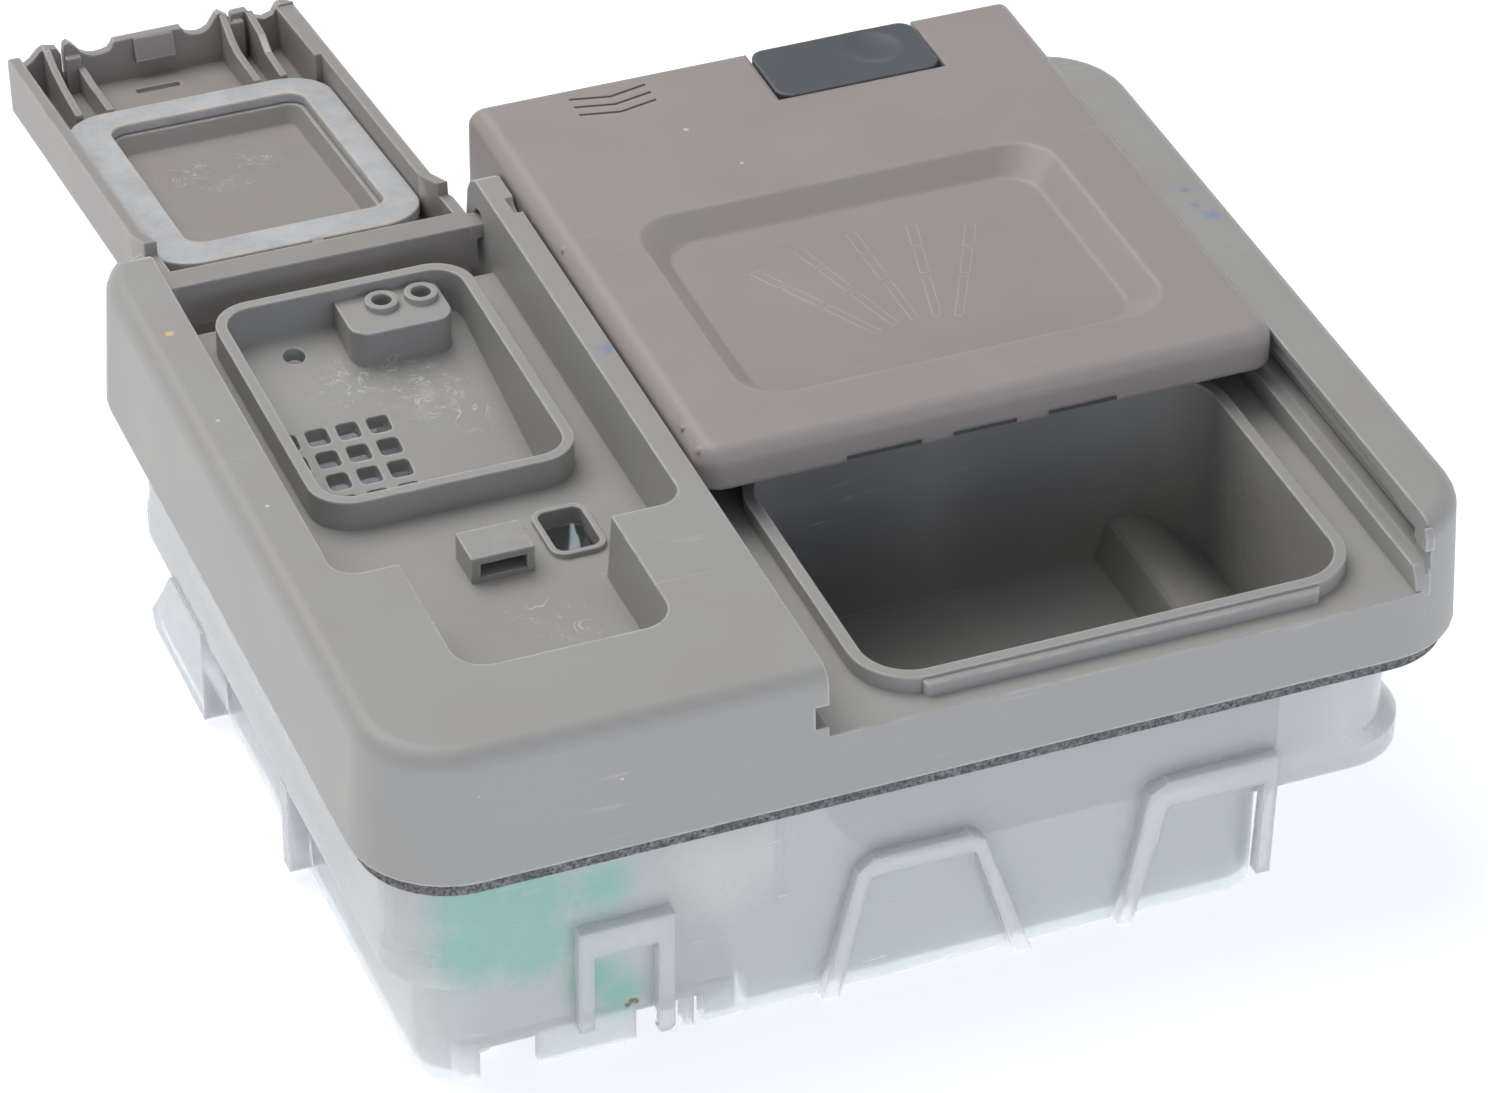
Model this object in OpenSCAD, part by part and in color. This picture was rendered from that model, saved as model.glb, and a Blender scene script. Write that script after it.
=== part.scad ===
// Detergent and rinse-aid dispenser for a dishwasher door.
// Every place is measured from the near left corner of the front panel, with z = 0 on the panel's
// flange face. The origin of the model is the middle of the underside of the flange seal.

/* [Front panel] */
// Width of the front panel
panel_w = 172; // [166:1:180]
// Depth of the front panel, near edge to far edge
panel_d = 143.3; // [141:0.1:150]
// Height of the panel over its flange face
panel_h = 22; // [21:0.1:23]
// Corner radius of the panel in plan
panel_r = 15; // [12:0.5:18]
// How far each side leans in over the height
panel_lean = 1.1; // [0.2:0.1:1.6]
// Radius of the rolled top edge
edge_r = 3.2; // [1.5:0.1:4]
// Wall of the panel moulding
wall = 2.2; // [1.8:0.1:2.6]
// Height of the sunk floors over the flange face
floor_z = 10.8; // [10:0.1:11.4]

/* [Rinse aid side] */
// Width of the left border
left_border = 9.9; // [9:0.1:11]
// Width of the rinse aid bay
bay_w = 53.3; // [52.6:0.1:54]
// Near edge of the bay
bay_y = 46.4; // [45.5:0.1:46.8]
// Lean of the bay's walls
bay_lean = 0.5; // [0.3:0.1:0.8]
// Left edge of the finger well
well_x = 19.3; // [17:0.1:21]
// Width of the finger well
well_w = 32.4; // [30:0.1:34]
// Near edge of the finger well
well_y = 19.5; // [17:0.5:22]
// Corner radius of the finger well
well_r = 5; // [3:0.5:6]
// Width of the divider between bay and lid channel
divider_w = 4; // [3.6:0.1:4.6]
// Height of the trough floor under the flap hinge
trough_z = 4; // [3.4:0.1:5]
// Length of the trough, from the far edge
trough_l = 15.5; // [15:0.1:17]

/* [Filling bowl] */
// Left edge of the bowl's rim
bowl_x = 15.4; // [15:0.1:16]
// Width of the rim
bowl_w = 41.6; // [40:0.1:42]
// Space between the bowl's far edge and the flap's pivot
bowl_hinge = 8.4; // [8.2:0.1:9.6]
// Depth of the rim
bowl_d = 56; // [54:0.1:56.4]
// Corner radius of the rim
bowl_r = 6.5; // [5:0.5:8]
// Height of the rim over the sunk floor
bowl_rim_h = 5; // [4:0.1:5.2]
// Wall of the rim
bowl_wall = 1.8; // [1.4:0.1:2.2]
// Fall of the bowl's floor towards the strainer, degrees
bowl_fall = 9.7; // [6:0.1:11]
// Side of a strainer hole
strain_hole = 3.5; // [2.8:0.1:3.8]
// Pitch of the strainer holes
strain_pitch = 4.9; // [4.4:0.1:5.2]
// Strainer holes each way
strain_n = 4; // [3:1:4]

/* [Detergent chamber] */
// Space between the lid channel's left side and the chamber's rim
rim_left = 8.3; // [7.8:0.1:9.3]
// Space between the chamber's rim and the lid channel's right side
rim_right = 7.8; // [7.4:0.1:9]
// Near edge of the rim
rim_y = 5; // [4.4:0.1:6]
// Depth of the rim
rim_d = 57.6; // [56:0.1:58.4]
// Corner radius of the rim
rim_r = 9.5; // [8:0.5:12]
// Height of the rim over the sunk floor
rim_h = 2.7; // [2:0.1:3]
// Wall of the chamber
chamber_wall = 1.9; // [1.6:0.1:2.4]
// Depth of the chamber below its rim
chamber_depth = 31.5; // [28:0.5:32.5]
// Width of the sloping ridge along the chamber's right wall
ridge_w = 15.3; // [13:0.1:18]

/* [Sliding lid] */
// Width of the right border
right_border = 10.4; // [9.8:0.1:11]
// Running gap on each side of the lid
lid_gap = 0.5; // [0.4:0.05:0.9]
// Front edge of the lid when open
lid_y = 51.4; // [51:0.1:53]
// Depth of the lid
lid_d = 101.4; // [99:0.1:102]
// Height of the lid's top over the flange face
lid_top = 25; // [24.6:0.1:26]
// Thickness of the lid's plate
lid_t = 2; // [1.6:0.1:2.4]
// Radius of the lid's rolled edges
lid_edge = 3; // [1.5:0.1:3.4]
// Travel of the lid from open to shut
lid_travel = 49; // [46:0.5:50]
// Depth of the recess in the lid
dish_depth = 3.5; // [2.5:0.1:3.8]
// Width of the release button
button_w = 28; // [24:0.5:32]
// Space between the release button and the lid's right edge
button_right = 18.1; // [16:0.1:20]
// Depth of the release button
button_d = 14.6; // [13:0.1:15]
// Press of the release button
button_press = 2; // [1:0.1:2.4]

/* [Rinse aid flap] */
// Place of the flap's pivot from the near edge
hinge_y = 135.2; // [134.6:0.1:135.8]
// Height of the flap's pivot
hinge_z = 15.3; // [15:0.1:15.6]
// Radius of the flap's journals
journal_r = 2.4; // [2:0.1:2.6]
// Angle of the open flap from its shut place, degrees
flap_open = 187; // [175:1:188]
// Length of the flap from its pivot
flap_l = 86.4; // [86:0.1:87]
// Gap between the flap and the bay's left wall
flap_gap = 0.7; // [0.6:0.1:1.2]
// Depth of the flap's skirt
flap_h = 9.6; // [8.6:0.1:10]
// Wall of the flap
flap_t = 1.9; // [1.6:0.1:2.2]

/* [Rear housing] */
// Wall of the housing
house_t = 1.6; // [1.4:0.1:2]
// Left side of the upper tray
house_x = 5; // [4.6:0.1:5.4]
// Space between the upper tray's right side and the panel's right edge
house_right = 9.4; // [9.2:0.1:10.4]
// Near side of both trays
house_y = 6; // [5.6:0.1:6.6]
// Depth of the upper tray
house_d = 130.5; // [130:0.1:131.5]
// Corner radius of the upper tray
house_r = 11; // [9:0.5:12]
// Depth of the upper tray below the flange face
upper_depth = 23.8; // [22.6:0.1:25]
// Left side of the lower tray
lower_x = 8; // [7.6:0.1:9]
// Space between the lower tray's right side and the panel's right edge
lower_right = 31; // [30:0.5:34]
// Depth of the lower tray, near to far
lower_d = 123; // [121:0.5:124]
// Corner radius of the lower tray
lower_r = 7; // [5:0.5:9]
// Whole depth of the housing below the flange face
house_depth = 41.5; // [40.5:0.1:43]
// Thickness of the flange seal
seal_t = 2.8; // [2:0.1:3.4]

/* [Release drive] */
// Travel of the solenoid's plunger
plunger_travel = 3; // [2:0.1:3.2]
// Radius of the plunger
plunger_r = 4; // [3:0.1:4.2]
// Height of the solenoid's axis
coil_z = -20; // [-20.5:0.1:-19.5]
// Distance of the solenoid's axis from the near edge
coil_y = 23; // [22.6:0.1:23.4]
// Radius of the winding
winding_r = 10.4; // [9:0.1:10.6]
// Short arm of the trip lever
lever_short = 16; // [15.5:0.1:16.5]
// Long arm of the trip lever
lever_long = 30; // [29.5:0.1:30.5]
// Lift of the dosing valve
valve_lift = 2.5; // [1.5:0.1:3]
// Rise of the rinse aid float
float_rise = 12; // [8:0.5:14]

/* [Hidden] */

$fn = 48;
e = 0.02;
run = 0.05;
// Places that follow from the sizes above
bay_x1 = left_border + bay_w;
channel_x = bay_x1 + divider_w;
channel_x1 = panel_w - right_border;
rim_x = channel_x + rim_left;
rim_w = channel_x1 - rim_right - rim_x;
rim_top = floor_z + rim_h;
chamber_floor = rim_top - chamber_depth;
deep_y = house_y + house_t + 0.4;
bowl_top = floor_z + bowl_rim_h;
bowl_far = hinge_y - bowl_hinge;
bowl_y = bowl_far - bowl_d;
bowl_deep = 9.4;
bowl_low = -3.4;
lid_x = channel_x + lid_gap;
lid_x1 = channel_x1 - lid_gap;
lid_y1 = lid_y + lid_d;
lid_skirt = floor_z + 0.6;
lid_front = 18.3;
groove_z = 12.4;
groove_h = 3.7;
groove_deep = 2.1;
shoe_y = [9, 61];
shoe_l = [12, 14];
right_rise = 2.4;
ledge_w = 2;
button_x = lid_x1 - button_right - button_w;
button_cx = button_x + button_w / 2;
button_y = lid_y1 - button_d;
post_y = lid_y1 - button_d / 2 - 2;
button_low = 20;
seat_top = button_low - button_press - 1.2;
flap_x = left_border + flap_gap;
flap_x1 = bay_x1 - flap_gap - 2.5;
wing_x = flap_x + 1.2;
wing_x1 = flap_x1 + 1.8;
flap_top = panel_h - 0.3;
flap_y = hinge_y - flap_l;
ring_x = flap_x + flap_t + 0.6;
ring_w = flap_x1 - flap_t - 0.2 - ring_x;
ring_y = bowl_y - 1.4;
ring_d = bowl_d + 2.5;
house_w = panel_w - house_x - house_right;
lower_x1 = panel_w - lower_right;
lower_w = lower_x1 - lower_x;
upper_z = -upper_depth;
lower_z = -house_depth;
pocket_z = -36;
pocket_x = 14;
pocket_x1 = 56;
pocket_y1 = 43;
tank_x1 = 43;
lever_x = 60;
lever_y = coil_y + lever_short;
bar_y = lever_y + lever_long;
bar_z = 3;
bar_w = 4;
bar_gap = 0.3;
tooth_x = button_cx;
tooth_y = post_y - lid_travel + 0.5;
tooth_top = floor_z + 1.4;
spring_seat_x = tooth_x + 14;
port_x = 46.3;
port_y = 54;
port_w = 6.9;
port_d = 10.2;
valve_x = port_x + port_w / 2;
valve_y = port_y + port_d / 2;
float_x = 35;
float_y = 60;
float_top = -29;
coil_x0 = 14;
coil_l = 24;
screw_r = 1.5;

// Moves a piece from the panel's corner to the model's origin
module placed() {
    translate([-panel_w / 2, -panel_d / 2, seal_t]) children();
}

// A rectangle with round corners, low corner first
module round_rect(x, y, w, d, r) {
    translate([x + r, y + r]) square([w - 2 * r, d - 2 * r]);
    translate([x, y + r]) square([w, d - 2 * r]);
    translate([x + r, y]) square([w - 2 * r, d]);
    for (cx = [x + r, x + w - r], cy = [y + r, y + d - r]) translate([cx, cy]) circle(r);
}

module plate(x, y, w, d, r, z0, z1) {
    translate([0, 0, z0]) linear_extrude(z1 - z0) round_rect(x, y, w, d, r);
}

module box(x0, x1, y0, y1, z0, z1) {
    translate([x0, y0, z0]) cube([x1 - x0, y1 - y0, z1 - z0]);
}

module rod_x(x0, x1, y, z, r) {
    translate([x0, y, z]) rotate([0, 90, 0]) cylinder(h = x1 - x0, r = r);
}

module rod_y(y0, y1, x, z, r) {
    translate([x, y0, z]) rotate([-90, 0, 0]) cylinder(h = y1 - y0, r = r);
}

module rod_z(z0, z1, x, y, r) {
    translate([x, y, z0]) cylinder(h = z1 - z0, r = r);
}

// A helical spring drawn as a stack of closed coils joined by one straight riser
module coil_spring(r, wire, length, turns) {
    pitch = (length - wire) / (turns - 1);
    for (i = [0:turns - 1])
        translate([0, 0, wire / 2 + i * pitch]) rotate_extrude()
            translate([r, 0]) circle(wire / 2, $fn = 14);
    translate([r, 0, wire / 2]) cylinder(h = length - wire, r = wire * 0.36, $fn = 14);
}

/* Front panel */

// One slice of a leaning block with a rolled top edge
module panel_slice(z, inset, grow) {
    g = inset + grow;
    translate([0, 0, z]) linear_extrude(e) round_rect(g, g, panel_w - 2 * g, panel_d - 2 * g,
        max(2, panel_r - g), $fn = 32);
}

module panel_block(grow, top) {
    side = panel_lean / panel_h;
    hull() {
        panel_slice(grow > 0 ? -1 : 0, 0, grow);
        for (a = [0:18:90]) panel_slice(top - e - edge_r + edge_r * sin(a),
            side * (top - edge_r) + edge_r * (1 - cos(a)), grow);
    }
}

module sunk(x, y, w, d, r, grow, $fn = 24) {
    z0 = floor_z - grow;
    z1 = panel_h + 1;
    s = bay_lean * (z1 - panel_h) / (panel_h - floor_z);
    hull() {
        plate(x - s - grow, y - s - grow, w + 2 * (s + grow), d + 2 * (s + grow), r, z1, z1 + e);
        plate(x + bay_lean - grow, y + bay_lean - grow, w - 2 * (bay_lean - grow),
            d - 2 * (bay_lean - grow), r, z0, z0 + e);
    }
}

// Everything sunk into the top, grown by the wall when the underside is hollowed
module top_cuts(grow) {
    far = panel_d + 20;
    sunk(left_border, bay_y, bay_w, far - bay_y, 4, grow);
    sunk(well_x, well_y, well_w, bay_y - well_y + 6, well_r, grow);
    box(left_border + bay_lean - grow, bay_x1 - bay_lean + grow, panel_d - trough_l - grow,
        far, trough_z - grow, panel_h);
    box(channel_x - grow, channel_x1 + grow, -5, far, floor_z - grow, panel_h + 2);
}

// The far ends of the border and the divider drop away round the hinge
module far_end_cuts() {
    far = panel_d + 5;
    top = panel_h + 5;
    ends = [[-5, left_border + 2, hinge_y - 0.6, 18.4],
        [bay_x1 - 1, channel_x + 1, hinge_y + 2, floor_z]];
    for (c = ends) translate([c[0], 0, 0]) rotate([90, 0, 90]) linear_extrude(c[1] - c[0])
        polygon([[c[2], top], [c[2], panel_h], [c[2] + 2.2, panel_h - 1.2], [c[2] + 3.4, panel_h - 3.4],
            [c[2] + 3.6, c[3]], [far, c[3]], [far, top]]);
    rod_x(channel_x - 1.4, channel_x + 1, hinge_y - 6.5, panel_h + 0.9, 2.5);
}

module weld_ring(x, y, w, d, r, t, z0, z1) {
    difference() {
        plate(x, y, w, d, r, z0, z1);
        plate(x + t, y + t, w - 2 * t, d - 2 * t, r - t, z0 - 1, z1 + 1);
    }
}

module bowl_outer() {
    plate(bowl_x, bowl_y, bowl_w, bowl_d, bowl_r, bowl_low, bowl_top);
}

// The bowl's inside, with a floor that falls towards the strainer
module bowl_inner(drop) {
    t = bowl_wall - drop * 0.001;
    difference() {
        plate(bowl_x + t, bowl_y + t, bowl_w - 2 * t, bowl_d - 2 * t, bowl_r - t, -30, bowl_top + 5);
        translate([0, bowl_far, bowl_deep - drop]) rotate([bowl_fall, 0, 0])
            translate([-5, -100, -60]) cube([80, 110, 60]);
    }
}

module strainer_holes() {
    for (i = [0:strain_n - 1], j = [0:strain_n - 1])
        translate([0, 0, -20]) linear_extrude(60)
            round_rect(bowl_x + 5 + i * strain_pitch - strain_hole / 2,
                bowl_far - 24 - j * strain_pitch - strain_hole / 2, strain_hole, strain_hole, 0.7,
                $fn = 16);
}

module vent_collars() {
    for (p = vent_places) difference() {
        rod_z(12, 14.6, p[0], p[1], vent_r + 1);
        rod_z(11, 16, p[0], p[1], vent_r);
    }
}
vent_r = 1.6;
vent_places = [[bowl_x + 26.8, bowl_far - 5.2], [bowl_x + 33.2, bowl_far - 5.2]];

module chamber_solid() {
    plate(rim_x, rim_y, rim_w, rim_d, rim_r, 0, rim_top);
    plate(rim_x, deep_y, rim_w, rim_d - deep_y + rim_y, rim_r, chamber_floor - wall, 0.1);
    plate(rim_x + 7.8, rim_y - 1.2, rim_w - 15.9, 12, 1, floor_z - 1, rim_top - 0.4);
}

module chamber_hollow() {
    t = chamber_wall;
    difference() {
        plate(rim_x + t, rim_y + t, rim_w - 2 * t, rim_d - 2 * t, rim_r - t, chamber_floor,
            rim_top + 5);
        chamber_ridge();
        near_slope();
    }
}

// Leans the chamber's near wall in, so that the housing passes outside it
module near_slope() {
    t = chamber_wall;
    translate([rim_x, 0, 0]) rotate([90, 0, 90]) linear_extrude(rim_w)
        polygon([[rim_y, rim_top], [rim_y + t, rim_top], [deep_y + t, 0],
            [deep_y + t, chamber_floor - 1], [rim_y, chamber_floor - 1]]);
}

// The ridge that stands a tablet off the floor: steep on its left, falling to the right wall
module chamber_ridge() {
    x1 = rim_x + rim_w;
    translate([x1 - chamber_wall - ridge_w, rim_y + rim_d, chamber_floor]) rotate([90, 0, 0])
        linear_extrude(rim_d) polygon([[0, -1], [0, 0], [1.5, 6], [1.9, 6.8], [2.6, 7.3], [3.6, 7.5],
            [6, 7.1], [9.5, 5.4], [12.5, 3.1], [ridge_w - 0.9, 1.7], [ridge_w + 1, 0.6],
            [ridge_w + 1, -1]]);
}

// The hook that the flap's latch snaps over
module hook() {
    x = flap_x + 21.6;
    y = flap_y + 3.5;
    difference() {
        box(x, x + 9.8, y, y + 7, floor_z - 1, floor_z + 4.4);
        box(x + 1.4, x + 8.6, y - 2, y + 5.3, floor_z + 0.8, floor_z + 3.2);
    }
}

module port_collar() {
    plate(port_x - 0.9, port_y - 0.9, port_w + 1.8, port_d + 1.8, 2.4, floor_z - 1, floor_z + 0.8);
}

module port_hole() {
    plate(port_x, port_y, port_w, port_d, 1.6, 0, floor_z + 3);
}

// Grooves that carry the lid's shoes, open at the near face
module lid_grooves() {
    y1 = lid_y + shoe_y[1] + shoe_l[1] + 0.4;
    box(channel_x - groove_deep, channel_x + 1, -5, y1, groove_z, groove_z + groove_h);
    box(channel_x1 - 1, channel_x1 + groove_deep, lid_y - lid_travel + 4, y1, groove_z + right_rise,
        groove_z + right_rise + groove_h);
    groove_mouth();
}

// The right groove's mouth is shallow and rises from the near face in a curve
module groove_mouth() {
    z = groove_z + right_rise;
    translate([channel_x1 - 1, 0, 0]) rotate([90, 0, 90]) linear_extrude(1.4)
        polygon([[-5, z - 1.6], [0.9, z - 1.6], [2.6, z], [panel_d - 12, z], [panel_d - 12, z + 6],
            [30, z + 6], [19, z + 5.4], [10.7, z + 3.6], [6.8, z + 2.2], [4.2, z + 1.6],
            [2.3, z + 2.4], [-5, z + 3]]);
}

// The ledge under the right groove, rounded down at its near end
module lid_ledge() {
    z = groove_z + right_rise - 0.1;
    translate([channel_x1 - ledge_w, 0, 0]) rotate([90, 0, 90]) linear_extrude(ledge_w + 0.5)
        polygon([[panel_lean, floor_z - 1], [panel_lean, z - 3.4], [1.5, z - 1.6], [2.6, z],
            [panel_d - panel_lean, z], [panel_d - panel_lean, floor_z - 1]]);
}

// The border's inner edge ends in a small lip over the groove's mouth
module groove_lip() {
    y = lid_y - lid_travel - 0.2;
    translate([channel_x1 - 0.9, 0, 0]) rotate([90, 0, 90]) linear_extrude(1.4)
        polygon([[panel_lean, groove_z + right_rise + 3], [y, groove_z + right_rise + 3],
            [y, panel_h - 0.7], [y - 0.4, panel_h - 1], [y - 0.8, panel_h - 1.6],
            [panel_lean, panel_h - 2.4]]);
}

// Ribs under the panel that carry the catch bar
module bar_guides() {
    for (x = [channel_x + 18.8, tooth_x - 15]) difference() {
        box(x - 1, x + 1, bar_y - 5, bar_y + 5, -2, floor_z - 1);
        box(x - 2, x + 2, bar_y - bar_w / 2 - bar_gap, bar_y + bar_w / 2 + bar_gap,
            bar_z - 2 - bar_gap, bar_z + 2 + bar_gap);
    }
    box(spring_seat_x, spring_seat_x + 2, bar_y - 5, bar_y + 5, -2, floor_z - 1);
}

module lever_post() {
    difference() {
        rod_z(bar_z + 3.3, panel_h - wall + 0.5, lever_x, lever_y, 4);
        rod_z(0, pin_top + 0.05, lever_x, lever_y, 1.5);
    }
}

module front_panel() color([0.56, 0.56, 0.55]) placed() {
    difference() {
        union() {
            difference() {
                union() {
                    difference() {
                        panel_block(0, panel_h);
                        difference() {
                            panel_block(wall, panel_h - wall);
                            top_cuts(wall);
                        }
                    }
                    weld_ring(house_x, house_y, house_w, house_d, house_r, 2, 0, panel_h - wall);
                }
                top_cuts(0);
            }
            bowl_outer();
            chamber_solid();
            lid_ledge();
            bar_guides();
            port_collar();
        }
        bowl_inner(0);
        difference() {
            translate([0, 0, -40]) linear_extrude(60) round_rect(bowl_x - 1, bowl_y - 1,
                bowl_w + 2, bowl_d + 2, bowl_r);
            plate(bowl_x - 2, bowl_y - 2, bowl_w + 4, bowl_d + 4, bowl_r, -30, 30);
        }
        bowl_underside();
        strainer_holes();
        rod_z(0, 20, bowl_x + 12.1, bowl_far - 6.3, 1.75);
        chamber_hollow();
        port_hole();
        lid_grooves();
        far_end_cuts();
        box(tooth_x - 5, tooth_x + 11, tooth_y - 4, tooth_y + 4, 5, floor_z + 2);
        for (x = [left_border - 2.2, bay_x1 - 2]) rod_x(x, x + 4.2, hinge_y, hinge_z, journal_r + run);
    }
    hook();
    groove_lip();
    lever_post();
    difference() {
        bowl_block();
        for (p = vent_places) rod_z(9, 20, p[0], p[1], vent_r);
    }
    vent_collars();
}

// Keeps the bowl's floor one wall thick
module bowl_underside() {
    translate([0, bowl_far, bowl_deep - wall]) rotate([bowl_fall, 0, 0])
        translate([bowl_x - 1, -100, -60]) cube([bowl_w + 2, 100 + bowl_wall, 60]);
}

module bowl_block() {
    intersection() {
        plate(bowl_x + 20.1, bowl_far - 12.2, 16.4, 30, 3, 5, 13.6);
        plate(bowl_x + 0.5, bowl_y + 0.5, bowl_w - 1, bowl_d - 1, bowl_r - 0.5, 0, 20);
    }
}

module flange_seal() color([0.13, 0.13, 0.14]) placed() {
    m = 1.4;
    g = 0.3;
    difference() {
        plate(m, m, panel_w - 2 * m, panel_d - 2 * m, panel_r - m, -seal_t, 0);
        plate(house_x - g, house_y - g, house_w + 2 * g, house_d + 2 * g, house_r + g,
            -seal_t - 1, 1);
    }
}

/* Rear housing */

module rib_frame(outer, inner, y0, y1) {
    translate([0, y1, 0]) rotate([90, 0, 0]) linear_extrude(y1 - y0) difference() {
        polygon(outer);
        if (len(inner) > 0) polygon(inner);
    }
}

// The three strap-like frames on the near side
module near_frames() {
    y0 = house_y - 2.1;
    y1 = house_y + 0.2;
    low = lower_z - 1;
    x1 = lower_x1;
    rib_frame([[x1 - 25.1, lower_z], [x1 - 21.1, -17.9], [x1 - 18.1, -16.1], [x1, -16.1],
        [x1 - 0.4, -38], [x1 - 2.6, -38], [x1 - 2.1, -20.8], [x1 - 17.8, -20.8],
        [x1 - 22.9, lower_z]], [], y0, y1);
    rib_frame([[68.4, lower_z], [73.6, -18.9], [76.1, -16.9], [91.4, -16.9], [93.7, -18.3],
        [101.9, lower_z]], [[70.8, low], [75.7, -20.1], [92.3, -20.1], [99.5, low]], y0, y1);
    rib_frame([[30.6, -35.9], [30.6, -17.6], [45.3, -17.6], [45.3, -38.6], [44.6, -39.4],
        [43.2, -39.4], [42.6, -38.6], [42.6, -35.5]],
        [[32.9, -38], [32.9, -22.4], [42.8, -22.4], [42.8, -38]], y0, y1);
}

// Low upright ribs inside the near wall
module wall_ribs() {
    y = house_y + house_t;
    for (x = [30.3, 45, 62.8]) box(x - 0.5, x + 0.5, y - 0.1, y + 1.2, upper_z, -1);
}

module left_frames() {
    translate([lower_x - 4, house_y, 0]) rotate([90, 0, 90]) linear_extrude(4.2)
        polygon([[93, upper_z + 0.2], [108.5, upper_z + 0.2], [115, -31.8], [120, -37.5],
            [118.5, -40.3], [93, -40.3]]);
    box(lower_x - 3.6, lower_x + 0.2, house_y + 52, house_y + 55, lower_z + 2, upper_z + 0.2);
}

// Both trays; the upper one's low edge flares out, mostly on the right
module trays(t, z_top) {
    plate(house_x + t, house_y + t, house_w - 2 * t, house_d - 2 * t, house_r - t, lip_z - 0.1,
        z_top);
    hull() {
        plate(house_x + t, house_y + t, house_w - 2 * t, house_d - 2 * t, house_r - t, lip_z,
            lip_z + e, $fn = 32);
        lip_plate(t, lip_z - 2.5, lip_z - 2.5 + e);
    }
    lip_plate(t, upper_z + t, lip_z - 2.5 + e);
    plate(lower_x + t, house_y + t, lower_w - 2 * t, lower_d - 2 * t, lower_r - t, lower_z + t,
        z_top);
}
lip_z = -17.5;

module lip_plate(t, z0, z1) {
    plate(house_x - 0.5 + t, house_y + t, house_w + 3.5 - 2 * t, house_d - 2 * t, house_r - t, z0,
        z1, $fn = 32);
}

// The dry pocket for the drive is open below, one wall round it
module pocket(t, z0, z1) {
    box(pocket_x - t, pocket_x1 + t, house_y + house_t + 1.4 - t, pocket_y1 + t, z0, z1);
}

module rear_housing() color([0.86, 0.9, 0.91, 0.55]) placed() {
    difference() {
        union() {
            difference() {
                trays(0, 0);
                trays(house_t, 5);
            }
            intersection() {
                trays(0, 0);
                union() {
                    box(lower_x, tank_x1 + house_t, pocket_y1, pocket_y1 + house_t, lower_z, -1);
                    box(tank_x1, tank_x1 + house_t, pocket_y1, house_y + lower_d, lower_z, -1);
                    box(pocket_x - house_t, pocket_x1 + house_t, house_y, pocket_y1 + house_t,
                        lower_z, pocket_z + house_t);
                }
            }
            wall_ribs();
            near_frames();
            left_frames();
            rod_z(lower_z + 1, lever_foot, lever_x, lever_y, 4);
            reed_cradle();
            for (p = screw_places) rod_z(pocket_z, pocket_z + 7, p[0], p[1], 3.2);
            rod_z(lower_z + 1, float_top + float_rise + 3, float_x, float_y, 1.8);
        }
        pocket(0, lower_z - 1, pocket_z);
        for (x = [[16, 25], [40, 47.6], [49, 50.5]])
            box(x[0], x[1], house_y - 1, house_y + 5, lower_z - 1, pocket_z);
        box(24, 41, house_y + house_t, house_y + 5, lower_z - 1, pocket_z);
        box(18, pocket_x1 - 4, house_y + 6, pocket_y1 - 4, lower_z - 1, pocket_z + 5);
        rod_z(lever_foot - 6, lever_foot + 1, lever_x, lever_y, 1.5);
        rod_x(tank_x1 - 1, tank_x1 + house_t + 1, valve_y, feed_z, 1);
        for (p = screw_places) rod_z(pocket_z - 1, pocket_z + 6, p[0], p[1], screw_r);
        box(bowl_x - 0.3, bowl_x + bowl_w + 0.3, bowl_y - 0.3, bowl_y + 12, bowl_low - 0.2, 0);
    }
}
lever_foot = -27;
pin_top = 12;
feed_z = -15;

module reed_cradle() {
    x = tank_x1 + house_t;
    difference() {
        for (y = [56, 62]) box(x - 0.1, x + 2.6, y, y + 2, lower_z + 1, reed_z);
        rod_y(50, 70, x + reed_r, reed_z, reed_r);
    }
}
reed_z = -36;
reed_r = 1.25;
screw_places = [[17.5, 12.5], [52.5, 12.5], [17.5, 39.7], [52.5, 39.7]];

/* Sliding lid */

// One slice of the lid, round at the near corners and square at the far edge
module lid_slice(z, inset) {
    r = max(0.6, 4 - inset);
    x0 = lid_x + inset;
    x1 = lid_x1 - inset;
    translate([0, 0, z]) linear_extrude(e) {
        for (x = [x0 + r, x1 - r]) translate([x, lid_y + inset + r]) circle(r, $fn = 24);
        translate([x0, lid_y + 10]) square([x1 - x0, lid_d - 10 - inset * 0.2]);
    }
}

module lid_block() {
    hull() {
        lid_slice(lid_skirt, 0);
        for (a = [0:18:90]) lid_slice(lid_top - e - lid_edge + lid_edge * sin(a),
            lid_edge * (1 - cos(a)));
    }
}

dish_x = lid_x + 11.8;
dish_w = lid_x1 - 12.1 - dish_x;
dish_y = lid_y + 11.1;
dish_d = 51;
dish_slope = 4;

module dish(grow) {
    x = dish_x - grow;
    y = dish_y - grow;
    w = dish_w + 2 * grow;
    d = dish_d + 2 * grow;
    s = dish_slope;
    hull() {
        plate(x, y, w, d, 7, lid_top - grow, lid_top - grow + e, $fn = 24);
        plate(x + s, y + s, w - 2 * s, d - 2 * s, 6, lid_top - dish_depth - grow,
            lid_top - dish_depth - grow + e, $fn = 24);
    }
}

module seal_carrier(t0, t1, z0, z1) {
    weld_ring(rim_x - t0, rim_y + lid_travel - t0, rim_w + 2 * t0, rim_d + 2 * t0, rim_r + t0,
        t1, z0, z1);
}
seal_z = 16.6;

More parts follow.
